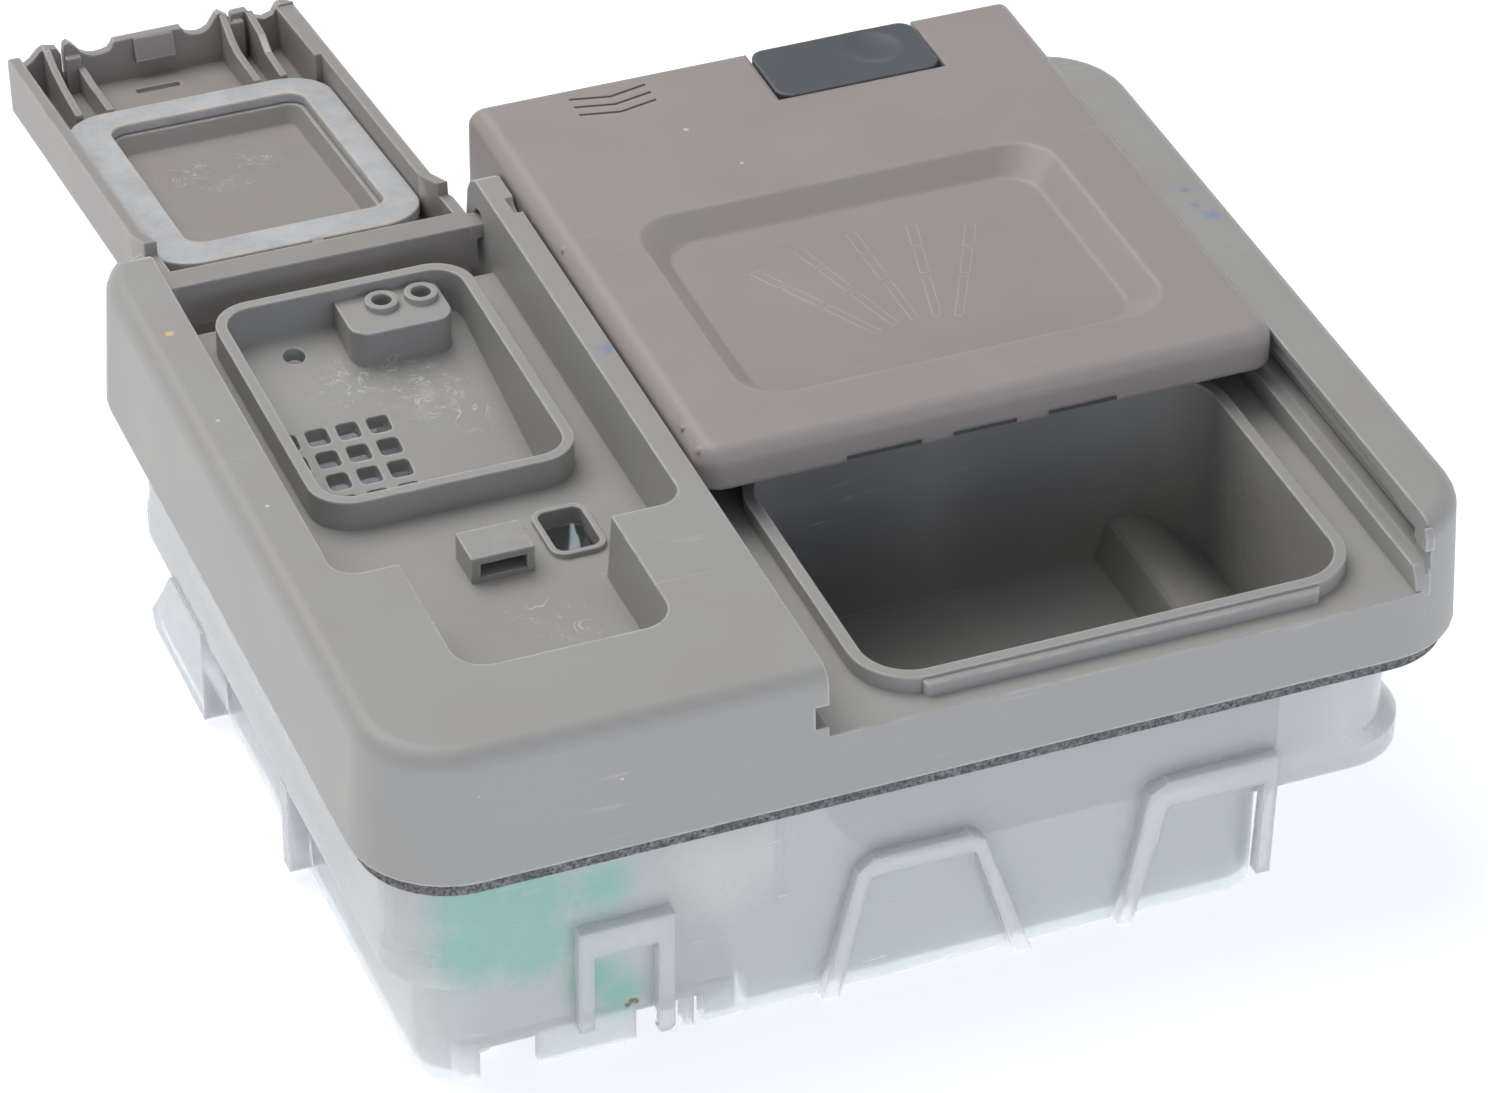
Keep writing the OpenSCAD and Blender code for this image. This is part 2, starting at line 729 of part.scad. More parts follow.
module lid_shoes() {
    for (i = [0, 1]) {
        y = lid_y + shoe_y[i];
        box(channel_x - groove_deep + 0.3, lid_x + 0.5, y, y + shoe_l[i], groove_z + 0.3,
            groove_z + groove_h - 0.3);
        box(lid_x1 - 0.5, channel_x1 + groove_deep - 0.3, y, y + shoe_l[i],
            groove_z + right_rise + 0.3, groove_z + right_rise + groove_h - 0.3);
    }
}

module button_seat() {
    x0 = button_x + 5;
    x1 = button_x + button_w - 5;
    difference() {
        box(x0, x1, button_y - 2, lid_y1 - 1, seat_top - 1.4, seat_top);
        rod_z(10, 20, button_cx, post_y, 1.7);
    }
}

module detergent_lid() color([0.58, 0.55, 0.53]) placed() {
    difference() {
        union() {
            difference() {
                lid_block();
                box(lid_x + lid_t, lid_x1 - lid_t, lid_y + lid_t, lid_y1 - lid_t, 0,
                    lid_top - lid_t);
                box(lid_x - 1, lid_x1 + 1, lid_y - 1, lid_y + 6, 0, lid_front);
                box(lid_x + 23, lid_x1 - 26.7, lid_y - 1, lid_y + 6, 0, lid_front + 1);
                box(channel_x1 - ledge_w - 1, channel_x1 + 1, lid_y - 1, lid_y1 + 1, 0,
                    groove_z + right_rise + 0.3);
            }
            difference() {
                dish(lid_t);
                box(0, 200, 0, 200, lid_top - 1, 40);
            }
            seal_carrier(0, 2.4, seal_z + 1.4, lid_top - lid_t + 0.2);
            for (x = [lid_x + 35, lid_x + 50.4]) box(x, x + 5.2, lid_y + 0.1, lid_y + lid_t,
                lid_front, lid_front + 2);
            button_well();
        }
        dish(0);
        box(button_x - 0.4, button_x + button_w + 0.4, button_y - 0.4, lid_y1 + 1, seat_top + 0.4, 40);
        box(tooth_x - 5, tooth_x + 11, lid_y + 60, lid_y1 + 1, 5, 15);
        for (i = [0:2]) chevron(i);
    }
    lid_shoes();
    button_seat();
    for (p = [[3.3, 23.8], [9.4, 23.8], [60.1, 23.6], [71.9, 21.5]])
        rod_x(lid_x - (p[1] > panel_h ? -0.3 : 0.2), lid_x + 1.4, lid_y + p[0], p[1], 0.5, $fn = 16);
}

// Walls under the button's opening
module button_well() {
    intersection() {
        box(button_x - 2, button_x + button_w + 2, button_y - 2, lid_y1 - 0.8, seat_top - 1.4,
            lid_top - 0.3);
        difference() {
            box(button_x - 2, button_x + button_w + 2, button_y - 2, lid_y1, 0, 40);
            box(button_x - 0.4, button_x + button_w + 0.4, button_y - 0.4, lid_y1 + 1, 0, 40);
        }
    }
}

// Three shallow chevrons that show which way the lid slides
module chevron(i) {
    y = lid_y1 - 9.6 + i * 2.4;
    translate([lid_x + 15.8, y, lid_top - 0.3]) linear_extrude(2)
        polygon([[0, 1.4], [6.5, 0], [13, 1.4], [13, 2], [6.5, 0.6], [0, 2]]);
}

module lid_seal() color([0.36, 0.37, 0.39]) placed()
    seal_carrier(0, 2.4, seal_z, seal_z + 1.4);

module lid_button() color([0.27, 0.31, 0.34]) placed() {
    difference() {
        union() {
            plate(button_x, button_y, button_w, button_d - 0.3, 2.5, button_low, lid_top + 0.2);
            rod_z(tooth_top + 0.3 + button_press, button_low + 1, button_cx, post_y, 1.5);
        }
        difference() {
            plate(button_x + 1.4, button_y + 1.4, button_w - 2.8, button_d - 3.1, 1.5, button_low - 1,
                lid_top - 1.8);
            rod_z(10, 30, button_cx, post_y, 1.5);
        }
        translate([button_cx + 5.5, post_y + 3.6, lid_top + 20]) sphere(20.5, $fn = 96);
    }
}

module button_spring() color([0.72, 0.73, 0.75]) placed()
    translate([button_cx, post_y, seat_top + 0.05])
        coil_spring(2.6, 0.5, lid_top - 1.9 - seat_top, 5);

/* Rinse aid flap, drawn shut and then swung open about its pivot */

module flap_pose() {
    translate([0, hinge_y, hinge_z]) rotate([-flap_open, 0, 0])
        translate([0, -hinge_y, -hinge_z]) children();
}

module flap_outline() {
    polygon([[flap_x, flap_y], [flap_x1, flap_y], [flap_x1, hinge_y - 14],
        [wing_x1, hinge_y - 9], [wing_x1, hinge_y + 2.2], [wing_x, hinge_y + 2.2],
        [wing_x, hinge_y - 9], [flap_x, hinge_y - 14]]);
}

module flap_inside() {
    t = flap_t;
    far = hinge_y - 3.4;
    polygon([[flap_x + t, flap_y + t], [flap_x1 - t, flap_y + t], [flap_x1 - t, hinge_y - 14.6],
        [wing_x1 - t, hinge_y - 9.6], [wing_x1 - t, far], [wing_x + t, far],
        [wing_x + t, hinge_y - 9.6], [flap_x + t, hinge_y - 14.6]]);
}

// The skirt's front wall, with scallops in its rim; places run from each end of the wall
module flap_rim() {
    left = [[0, 0.3], [0.5, 1.3], [1.4, 2], [2.6, 2.1], [3.9, 1.3], [5.4, -0.2], [6.2, -0.6],
        [8.4, -0.2], [8.9, 0.9], [9.5, 0.9], [9.7, -0.6], [10.4, -0.9], [11.4, 0], [12.4, 1.3],
        [13.5, 2], [14.8, 2.3], [16.2, 2.2], [17.2, 1.9], [17.8, 1.3], [18.1, 0.5]];
    right = [[19.6, 0.4], [19, 1.4], [18.1, 1.9], [16.8, 2.1], [15.7, 1.9], [14.8, 1.4], [13.8, 0],
        [13.2, -0.8], [12.7, -0.9], [11.4, 0.1], [10.8, 0.1], [10.6, -0.3], [8, -0.4], [7.6, 0.5],
        [6.9, 1.2], [5.2, 1.7], [3.6, 1.2], [2.8, -0.1], [2.3, -0.4], [0, -0.3]];
    z = rim_band;
    translate([0, flap_y + flap_t, 0]) rotate([90, 0, 0]) linear_extrude(flap_t)
        polygon(concat([for (p = left) [flap_x + p[0], flap_low + p[1]]],
            [for (p = right) [flap_x1 - p[0], flap_low + p[1]]], [[flap_x1, z], [flap_x, z]]));
}

// A gusset behind the front wall; its profile runs from that wall to the seal's ring
module gusset(x, profile) {
    k = gusset_l / 20.6;
    translate([x, flap_y, flap_low]) rotate([90, 0, 90]) linear_extrude(1.2)
        polygon(concat([[flap_t - 0.1, 7.8]], [for (p = profile) [p[0] * k, p[1]]],
            [[gusset_l - 0.1, 3.5], [gusset_l - 0.1, 5.7], [gusset_l + 1, 5.7], [gusset_l + 1, 7.8]]));
}

module gussets() {
    gusset(flap_x + 5.9, [[1.8, -0.5], [2.7, -0.5], [6.2, 1.1], [12.2, 2.5]]);
    gusset(flap_x + 11.2, [[1.8, 3.1], [9.6, 3.6]]);
    gusset(flap_x1 - 13, [[1.8, -0.7], [2.4, -0.5], [6.7, 2.2], [9.7, 3.1]]);
    gusset(flap_x1 - 8.5, [[1.8, -0.3], [2.8, -0.3], [9.2, 0.9], [12.2, 2.8]]);
    for (b = [[flap_x + 9.3, 1.3], [flap_x1 - 11.8, 0.6]])
        box(b[0], b[0] + 2.6, flap_y + flap_t - 0.1, flap_y + 3.6, flap_low + b[1], flap_top - 1);
}

// Wedge under the front wall that snaps over the hook
module latch_nub() {
    translate([flap_x + 21.3, flap_y + flap_t, flap_low]) rotate([90, 0, 90]) linear_extrude(6.9)
        polygon([[-0.1, 0.5], [0.3, 0.5], [1.3, 4.1], [1.2, 4.6], [-0.1, 4.6]]);
}

// The cup narrows a little towards its floor
module cup_hollow(z0, z1) {
    x = ring_x + 7.1;
    y = ring_y + 6;
    w = ring_w - 12.4;
    d = ring_d - 13.1;
    hull() {
        plate(x, y, w, d, 2.4, z0, z0 + e, $fn = 24);
        plate(x + 1.8, y + 1.8, w - 3.6, d - 3.6, 1.6, z1 - e, z1, $fn = 24);
    }
}

// Cuts the skirt's front corners back, clear of the bay's round corners
module flap_corners() {
    for (c = [[flap_x, -45], [flap_x1, 45]]) translate([c[0], flap_y, flap_low - 2])
        rotate([0, 0, c[1]]) translate([-3, -3, 0]) cube([6, 3 + corner_cut, flap_h + 3]);
}

flap_low = flap_top - flap_h;
corner_cut = 0.9;
rim_band = flap_low + 3;
gusset_l = ring_y - flap_y;

module rinse_flap() color([0.57, 0.55, 0.54]) placed() flap_pose() {
    ring_z = bowl_top + 1.9;
    plate_z = flap_top - flap_t;
    difference() {
        union() {
            difference() {
                translate([0, 0, flap_low]) linear_extrude(flap_h) flap_outline();
                translate([0, 0, flap_low - 1]) linear_extrude(flap_h + 1 - flap_t) flap_inside();
                box(flap_x - 1, flap_x1 + 1, flap_y - 1, flap_y + flap_t, 0, rim_band - e);
            }
            plate(ring_x + 0.2, ring_y + 0.2, ring_w - 0.4, ring_d - 0.4, 7.8, ring_z, plate_z + 0.1);
            flap_rim();
            gussets();
            latch_nub();
            box(flap_x1 - flap_t - 1.1, flap_x1 - 0.5, flap_y + 0.5, flap_y + 22.6, flap_low,
                plate_z + 0.1);
            box(flap_x + 27, flap_x + 28.8, ring_y + ring_d + 0.1, hinge_y - 3, bowl_top - 0.2,
                plate_z + 0.1);
            for (x = [[left_border - 1.8, wing_x + 1], [wing_x1 - 1, bay_x1 + 1.8]])
                rod_x(x[0], x[1], hinge_y, hinge_z, journal_r);
        }
        flap_corners();
        cup_hollow(ring_z - 1, flap_top - 1);
        for (x = [flap_x + 8.95, flap_x1 - 11.35]) box(x, x + 0.5, flap_y - 1, flap_y + flap_t + 1,
            flap_low - 2, flap_low + 5);
        box(flap_x + 19.8, flap_x + 27.3, flap_y + 6.5, flap_y + 8.1, 10, 30);
        box(0, 100, hinge_y - 10, hinge_y + 5, 0, flap_low + 2.2);
        difference() {
            box(0, 100, hinge_y, hinge_y + 20, 0, 30);
            rod_x(0, 100, hinge_y, hinge_z, flap_top - hinge_z);
        }
    }
}

module flap_seal() color([0.66, 0.71, 0.76]) placed() flap_pose() {
    z0 = bowl_top + 0.1;
    difference() {
        plate(ring_x, ring_y, ring_w, ring_d, 8, z0, bowl_top + 1.9);
        plate(ring_x + 6.9, ring_y + 5.8, ring_w - 12, ring_d - 12.7, 3.2, z0 - 1, bowl_top + 3);
    }
}

/* Release drive */

coil_x1 = coil_x0 + coil_l;
tube_r = 6;

module coil_bobbin() color([0.93, 0.9, 0.78]) placed() difference() {
    union() {
        for (x = [coil_x0, coil_x1 - 1.4]) rod_x(x, x + 1.4, coil_y, coil_z, winding_r + 0.8);
        rod_x(coil_x0, coil_x1, coil_y, coil_z, tube_r);
    }
    rod_x(coil_x0 - 1, coil_x1 + 1, coil_y, coil_z, plunger_r + run);
}

module coil_winding() color([0.72, 0.42, 0.22]) placed() difference() {
    rod_x(coil_x0 + 1.4, coil_x1 - 1.4, coil_y, coil_z, winding_r);
    rod_x(coil_x0, coil_x1, coil_y, coil_z, tube_r);
}

module coil_yoke() color([0.66, 0.67, 0.68]) placed() {
    t = 1.5;
    h = 10;
    y1 = coil_y + winding_r + 1.2;
    difference() {
        union() {
            box(coil_x0 - t, coil_x0, coil_y - h, y1 + t, coil_z - h, coil_z + h);
            box(coil_x1, coil_x1 + t, coil_y - h, y1 + t, coil_z - h, coil_z + h);
            box(coil_x0 - t, coil_x1 + t, y1, y1 + t, coil_z - h, coil_z + h);
        }
        rod_x(coil_x1 - 1, coil_x1 + t + 1, coil_y, coil_z, plunger_r + run);
    }
}

// The green moulding that carries the solenoid in the housing
module actuator_frame() color([0.24, 0.62, 0.48]) placed() {
    x0 = coil_x0 - 2;
    x1 = coil_x1 + 2;
    near = coil_y - winding_r - 3;
    far = pocket_y1 - 1;
    z0 = pocket_z + house_t;
    difference() {
        union() {
            box(x0, x1 - 10, near, near + 1.6, z0 + 8, -4.5);
            box(x1 - 10, x1, near, near + 1.6, z0, -7);
            box(x0, x1, near, far, z0, z0 + 2);
            for (x = [coil_x0 - 1.5, coil_x1]) box(x, x + 1.5, near, far - 5, z0, coil_z - 10);
        }
        for (p = screw_places) rod_z(z0 - 1, pocket_z + 7.4, p[0], p[1], 3.6);
    }
}

module plunger() color([0.74, 0.75, 0.77]) placed() {
    difference() {
        union() {
            rod_x(coil_x0 + plunger_travel + 1, plunger_neck, coil_y, coil_z, plunger_r);
            rod_x(plunger_neck, plunger_neck + 1.5, coil_y, coil_z, plunger_r + 2.2);
            rod_x(plunger_neck, lever_x - 5, coil_y, coil_z, 2);
            box(lever_x - 6, lever_x + 4, coil_y - 4, coil_y + 4, coil_z - 2, coil_z + 2);
        }
        box(lever_x - 1.7, lever_x + 1.7, coil_y - 3, coil_y + 3, coil_z - 3, coil_z + 3);
    }
}
plunger_neck = coil_x1 + 10;

module plunger_spring() color([0.8, 0.8, 0.82]) placed()
    translate([coil_x1 + 1.55, coil_y, coil_z]) rotate([0, 90, 0])
        coil_spring(plunger_r + 1, 0.6, plunger_neck - coil_x1 - 1.6, 5);

module trip_lever() color([0.9, 0.86, 0.7]) placed() {
    difference() {
        union() {
            rod_z(lever_foot + 0.1, bar_z + 3.2, lever_x, lever_y, 3.4);
            box(lever_x - 2, lever_x + 2, coil_y - 2, lever_y, coil_z + 3, coil_z + 6.5);
            box(lever_x - 2, lever_x + 2, lever_y, bar_y + 2, bar_z - 6, bar_z - 2.6);
            rod_z(coil_z - 1.9, coil_z + 4, lever_x, coil_y, 1.5);
            rod_z(bar_z - 3, bar_z + 1.6, lever_x, bar_y, 1.5);
            valve_arm();
        }
        rod_z(lever_foot - 1, bar_z + 5, lever_x, lever_y, 1.55);
    }
}

// Third arm, whose ramp lifts the valve as the lever turns
module valve_arm() {
    reach = norm([valve_x - lever_x, valve_y - lever_y]);
    rise = valve_lift / (reach * plunger_travel / lever_short);
    tip = stem_foot - 0.2 - stem_r * rise;
    translate([lever_x, lever_y, 0]) rotate([0, 0, atan2(valve_y - lever_y, valve_x - lever_x)]) {
        box(0, reach - 2.6, -1.5, 1.5, lever_foot + 0.2, lever_foot + 2.6);
        box(reach - 5.6, reach - 2.6, -1.5, 1.5, tip - 3, lever_foot + 1);
        translate([reach + 1.3, 0, 0]) rotate([90, 0, -90]) linear_extrude(6.9)
            polygon([[2, tip - 3], [2, tip - 2 * rise], [-4.4, tip + 4.4 * rise], [-4.4, tip - 3]]);
    }
}
stem_foot = -28;

module lever_pin() color([0.75, 0.76, 0.78]) placed()
    rod_z(lever_foot - 5.9, pin_top, lever_x, lever_y, 1.5);

module catch_bar() color([0.93, 0.93, 0.9]) placed() {
    y0 = bar_y - bar_w / 2;
    y1 = bar_y + bar_w / 2;
    difference() {
        union() {
            box(lever_x - 3.3, tooth_x + 2, y0, y1, bar_z - 2, bar_z + 2);
            box(lever_x - 3.3, lever_x + 5, y0 - 2, y1 + 2, bar_z - 2, bar_z + 2);
            box(tooth_x - 2, tooth_x + 2, y0, tooth_y + 2, bar_z - 2, bar_z + 2);
            box(tooth_x - 2, tooth_x + 2, tooth_y - 2, tooth_y + 2, bar_z - 2, tooth_top);
            box(tooth_x - 4, tooth_x + 2, tooth_y - 2, tooth_y + 2, tooth_top - 1.2, tooth_top);
        }
        box(lever_x - 1.7, lever_x + 1.7, bar_y - 3, bar_y + 3, bar_z - 3, bar_z + 3);
    }
}

module catch_spring() color([0.8, 0.8, 0.82]) placed()
    translate([tooth_x + 2.05, bar_y, bar_z]) rotate([0, 90, 0])
        coil_spring(1.6, 0.5, spring_seat_x - tooth_x - 2.1, 7);

// Small vessel under the port that measures out one dose of rinse aid
module dosing_chamber() color([0.88, 0.89, 0.86]) placed() {
    difference() {
        union() {
            plate(port_x - 1.6, port_y - 1.6, port_w + 3.2, port_d + 3.2, 2.5, feed_z - 3,
                floor_z - wall);
            box(tank_x1 + house_t, port_x, valve_y - 2.5, valve_y + 2.5, feed_z - 3, feed_z + 2);
        }
        plate(port_x, port_y, port_w, port_d, 1.6, feed_z + 4, floor_z);
        rod_z(feed_z + 2, feed_z + 5, valve_x, valve_y, 3.4);
        rod_z(feed_z - 1.5, feed_z + 5, valve_x, valve_y, 2.6);
        rod_z(feed_z - 5, feed_z + 5, valve_x, valve_y, stem_r + run);
        rod_x(tank_x1, valve_x, valve_y, feed_z, 1);
    }
}
stem_r = 1.7;
seat_z = feed_z + 3.4;

module valve_stem() color([0.3, 0.32, 0.34]) placed() {
    rod_z(stem_foot, seat_z + 2.5, valve_x, valve_y, stem_r);
    rod_z(seat_z + 0.05, seat_z + 1.05, valve_x, valve_y, 3);
    rod_z(feed_z - 9, feed_z - 8, valve_x, valve_y, 3);
}

module valve_seal() color([0.16, 0.16, 0.17]) placed()
    difference() {
        rod_z(feed_z + 2, seat_z, valve_x, valve_y, 3.4);
        rod_z(feed_z, seat_z + 1, valve_x, valve_y, 2);
    }

module valve_spring() color([0.8, 0.8, 0.82]) placed()
    translate([valve_x, valve_y, feed_z - 7.95]) coil_spring(2.3, 0.5, 4.9, 4);

module level_float() color([0.9, 0.42, 0.2]) placed() difference() {
    union() {
        rod_z(-39.6, float_top - 2, float_x, float_y, 7);
        rod_z(float_top - 2, float_top, float_x, float_y, 5);
    }
    rod_z(-45, -20, float_x, float_y, 1.9);
    rod_z(-39.7, -36.6, float_x, float_y, 4.6);
}

module float_magnet() color([0.2, 0.2, 0.21]) placed() difference() {
    rod_z(-39.6, -36.6, float_x, float_y, 4.6);
    rod_z(-45, -30, float_x, float_y, 2.1);
}

module reed_switch() color([0.75, 0.85, 0.8]) placed() {
    x = tank_x1 + house_t + reed_r;
    rod_y(55, 65, x, reed_z, reed_r);
    for (y = [52, 65]) rod_y(y, y + 3, x, reed_z, 0.3);
}

module contact_blades() color([0.78, 0.79, 0.8]) placed()
    for (x = [8, 14, 20, 24.8]) box(pocket_x + x, pocket_x + x + 0.8, coil_y - 7, coil_y - 0.7,
        lower_z + 0.6, pocket_z + house_t);

module service_cover() color([0.82, 0.83, 0.82]) placed() difference() {
    plate(pocket_x + 0.3, house_y + house_t + 1.7, pocket_x1 - pocket_x - 0.6,
        pocket_y1 - house_y - house_t - 2, 1.5, pocket_z - 2, pocket_z);
    for (p = screw_places) rod_z(pocket_z - 4, pocket_z + 1, p[0], p[1], 1.7);
    box(pocket_x + 6, pocket_x + 29, coil_y - 8.5, coil_y + 1, pocket_z - 4, pocket_z + 1);
}

module cover_screws() color([0.7, 0.71, 0.73]) placed()
    for (p = screw_places) {
        rod_z(pocket_z - 4, pocket_z - 2, p[0], p[1], 2.8);
        rod_z(pocket_z - 3, pocket_z + 5.5, p[0], p[1], screw_r);
    }

front_panel();
flange_seal();
rear_housing();
detergent_lid();
lid_seal();
lid_button();
button_spring();
rinse_flap();
flap_seal();
coil_bobbin();
coil_winding();
coil_yoke();
actuator_frame();
plunger();
plunger_spring();
trip_lever();
lever_pin();
catch_bar();
catch_spring();
dosing_chamber();
valve_stem();
valve_seal();
valve_spring();
level_float();
float_magnet();
reed_switch();
contact_blades();
service_cover();
cover_screws();
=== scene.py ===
"""Looks of a dishwasher's detergent and rinse-aid dispenser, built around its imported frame."""

import math

import bmesh
import bpy
from mathutils import Matrix, Vector


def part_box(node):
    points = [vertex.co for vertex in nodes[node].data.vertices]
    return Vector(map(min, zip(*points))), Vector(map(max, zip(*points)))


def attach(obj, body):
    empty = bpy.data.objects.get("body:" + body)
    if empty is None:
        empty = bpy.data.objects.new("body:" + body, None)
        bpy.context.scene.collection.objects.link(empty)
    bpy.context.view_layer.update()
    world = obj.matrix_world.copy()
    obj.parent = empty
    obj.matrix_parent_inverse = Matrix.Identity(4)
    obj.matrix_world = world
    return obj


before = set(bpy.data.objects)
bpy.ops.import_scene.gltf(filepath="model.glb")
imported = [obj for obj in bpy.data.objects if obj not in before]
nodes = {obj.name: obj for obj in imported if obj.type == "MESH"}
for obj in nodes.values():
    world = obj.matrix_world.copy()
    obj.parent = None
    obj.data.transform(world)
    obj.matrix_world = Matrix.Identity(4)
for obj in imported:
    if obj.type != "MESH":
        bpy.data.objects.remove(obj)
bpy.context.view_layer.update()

MM = 0.001
PANEL_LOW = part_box("front_panel")[0]
FLANGE_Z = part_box("flange_seal")[1].z
FLOOR_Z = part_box("rear_housing")[0].z


def at(x, y, z):
    """A point given in mm from the panel's near left corner and its flange face, in the row frame."""
    return Vector((PANEL_LOW.x + x * MM, PANEL_LOW.y + y * MM, FLANGE_Z + z * MM))


# Camera

CAMERA_AZIMUTH = -22.255
CAMERA_ELEVATION = 36.555
CAMERA_ROLL = 0.724
CAMERA_DISTANCE = 893.73
CAMERA_TARGET = (74.022, 42.065, 10.0)
CAMERA_LENS = 147.75
CAMERA_SENSOR = 36.0
CAMERA_SHIFT = (-0.01408, 0.01337)


def make_camera():
    data = bpy.data.cameras.new("camera")
    data.lens = CAMERA_LENS
    data.sensor_width = CAMERA_SENSOR
    data.shift_x, data.shift_y = CAMERA_SHIFT
    data.clip_start, data.clip_end = 0.05, 20
    camera = bpy.data.objects.new("camera", data)
    bpy.context.scene.collection.objects.link(camera)
    a, e, r = (math.radians(v) for v in (CAMERA_AZIMUTH, CAMERA_ELEVATION, CAMERA_ROLL))
    back = Vector((math.sin(a) * math.cos(e), -math.cos(a) * math.cos(e), math.sin(e)))
    right = Vector((0, 0, 1)).cross(back).normalized()
    up = back.cross(right)
    rolled_right = right * math.cos(r) + up * math.sin(r)
    rolled_up = up * math.cos(r) - right * math.sin(r)
    turn = Matrix((rolled_right, rolled_up, back)).transposed().to_4x4()
    place = at(*CAMERA_TARGET) + back * CAMERA_DISTANCE * MM
    camera.matrix_world = Matrix.Translation(place) @ turn
    bpy.context.scene.camera = camera


# Floor and light

def make_floor():
    half = 6.0
    mesh = bpy.data.meshes.new("studio_floor")
    corners = [(-half, -half), (half, -half), (half, half), (-half, half)]
    mesh.from_pydata([(x, y, FLOOR_Z) for x, y in corners], [], [(0, 1, 2, 3)])
    floor = bpy.data.objects.new("studio_floor", mesh)
    bpy.context.scene.collection.objects.link(floor)
    material = bpy.data.materials.new("studio_floor")
    material.use_nodes = True
    shader = material.node_tree.nodes["Principled BSDF"].inputs
    shader["Base Color"].default_value = (0.56, 0.56, 0.56, 1)
    shader["Roughness"].default_value = 0.75
    shader["Specular IOR Level"].default_value = 0.2
    shader["Emission Color"].default_value = (0.97, 0.99, 1.03, 1)
    shader["Emission Strength"].default_value = 0.69
    mesh.materials.append(material)


def soft_box(name, place, aim, size, power, tint=(1, 1, 1)):
    data = bpy.data.lights.new(name, "AREA")
    data.shape = "RECTANGLE"
    data.size, data.size_y = size
    data.energy = power
    data.color = tint
    light = bpy.data.objects.new(name, data)
    bpy.context.scene.collection.objects.link(light)
    light.location = place
    light.rotation_euler = (Vector(aim) - Vector(place)).to_track_quat("-Z", "Y").to_euler()


def make_light():
    world = bpy.data.worlds.new("studio")
    world.use_nodes = True
    tree = world.node_tree
    direction = tree.nodes.new("ShaderNodeTexCoord").outputs["Generated"]
    height = put(tree, "ShaderNodeSeparateXYZ", {"Vector": direction}).outputs["Z"]
    low = mix_colour(tree, spread(tree, height, 0.05, 0.32), (1.0, 1.03, 1.1, 1), (0.16, 0.165, 0.18, 1))
    sky = mix_colour(tree, spread(tree, height, 0.5, 0.95), low, (0.55, 0.55, 0.55, 1))
    tree.links.new(sky, tree.nodes["Background"].inputs["Color"])
    bpy.context.scene.world = world
    bpy.context.scene.view_settings.view_transform = "Standard"
    middle = (0, 0, 0)
    soft_box("key_back_left", (-0.35, 0.65, 1.25), middle, (1.3, 1.3), 15.5, (1, 0.98, 0.94))
    soft_box("low_front_fill", (0.3, -1.4, 0.42), middle, (1.6, 0.4), 3.7, (0.84, 0.94, 1.16))


# Shader building

def put(tree, kind, links=None, **settings):
    """Adds a node; links gives each input a value or the socket that feeds it."""
    node = tree.nodes.new(kind)
    for key, value in settings.items():
        setattr(node, key, value)
    for key, value in (links or {}).items():
        if isinstance(value, bpy.types.NodeSocket):
            tree.links.new(value, node.inputs[key])
        else:
            node.inputs[key].default_value = value
    return node


def new_effect(name, inputs, outputs):
    """An empty shader node group with float inputs and the outputs named."""
    tree = bpy.data.node_groups.new(name, "ShaderNodeTree")
    for label, value in inputs.items():
        socket = tree.interface.new_socket(label, in_out="INPUT", socket_type="NodeSocketFloat")
        socket.default_value = value
    for label, kind in outputs.items():
        tree.interface.new_socket(label, in_out="OUTPUT", socket_type=kind)
    source = tree.nodes.new("NodeGroupInput")
    sink = tree.nodes.new("NodeGroupOutput")
    return tree, source.outputs, sink.inputs


def maths(tree, operation, first, second=0.5):
    return put(tree, "ShaderNodeMath", {0: first, 1: second}, operation=operation).outputs[0]


def times(tree, *factors):
    total = factors[0]
    for factor in factors[1:]:
        total = maths(tree, "MULTIPLY", total, factor)
    return total


def spread(tree, value, low, high, to_low=0.0, to_high=1.0):
    """Maps low..high to another range, clamped."""
    return put(tree, "ShaderNodeMapRange", {"Value": value, "From Min": low, "From Max": high,
        "To Min": to_low, "To Max": to_high}).outputs["Result"]


def noise(tree, where, scale, detail=2.0, roughness=0.5, distortion=0.0):
    return put(tree, "ShaderNodeTexNoise", {"Vector": where, "Scale": scale, "Detail": detail,
        "Roughness": roughness, "Distortion": distortion}).outputs["Fac"]


def piece_place(tree):
    return tree.nodes.new("ShaderNodeTexCoord").outputs["Object"]


def effect_mould_grain():
    """The fine skin of a moulded surface: a height of fine grain over slow waviness."""
    tree, given, out = new_effect("mould_grain", {"Grain per metre": 2600.0, "Waves per metre": 60.0},
        {"Height": "NodeSocketFloat", "Drift": "NodeSocketFloat"})
    where = piece_place(tree)
    fine = noise(tree, where, given["Grain per metre"], 3.0, 0.6)
    slow = noise(tree, where, given["Waves per metre"], 2.0)
    height = maths(tree, "ADD", times(tree, fine, 0.6), times(tree, slow, 0.4))
    tree.links.new(height, out["Height"])
    tree.links.new(slow, out["Drift"])
    return tree


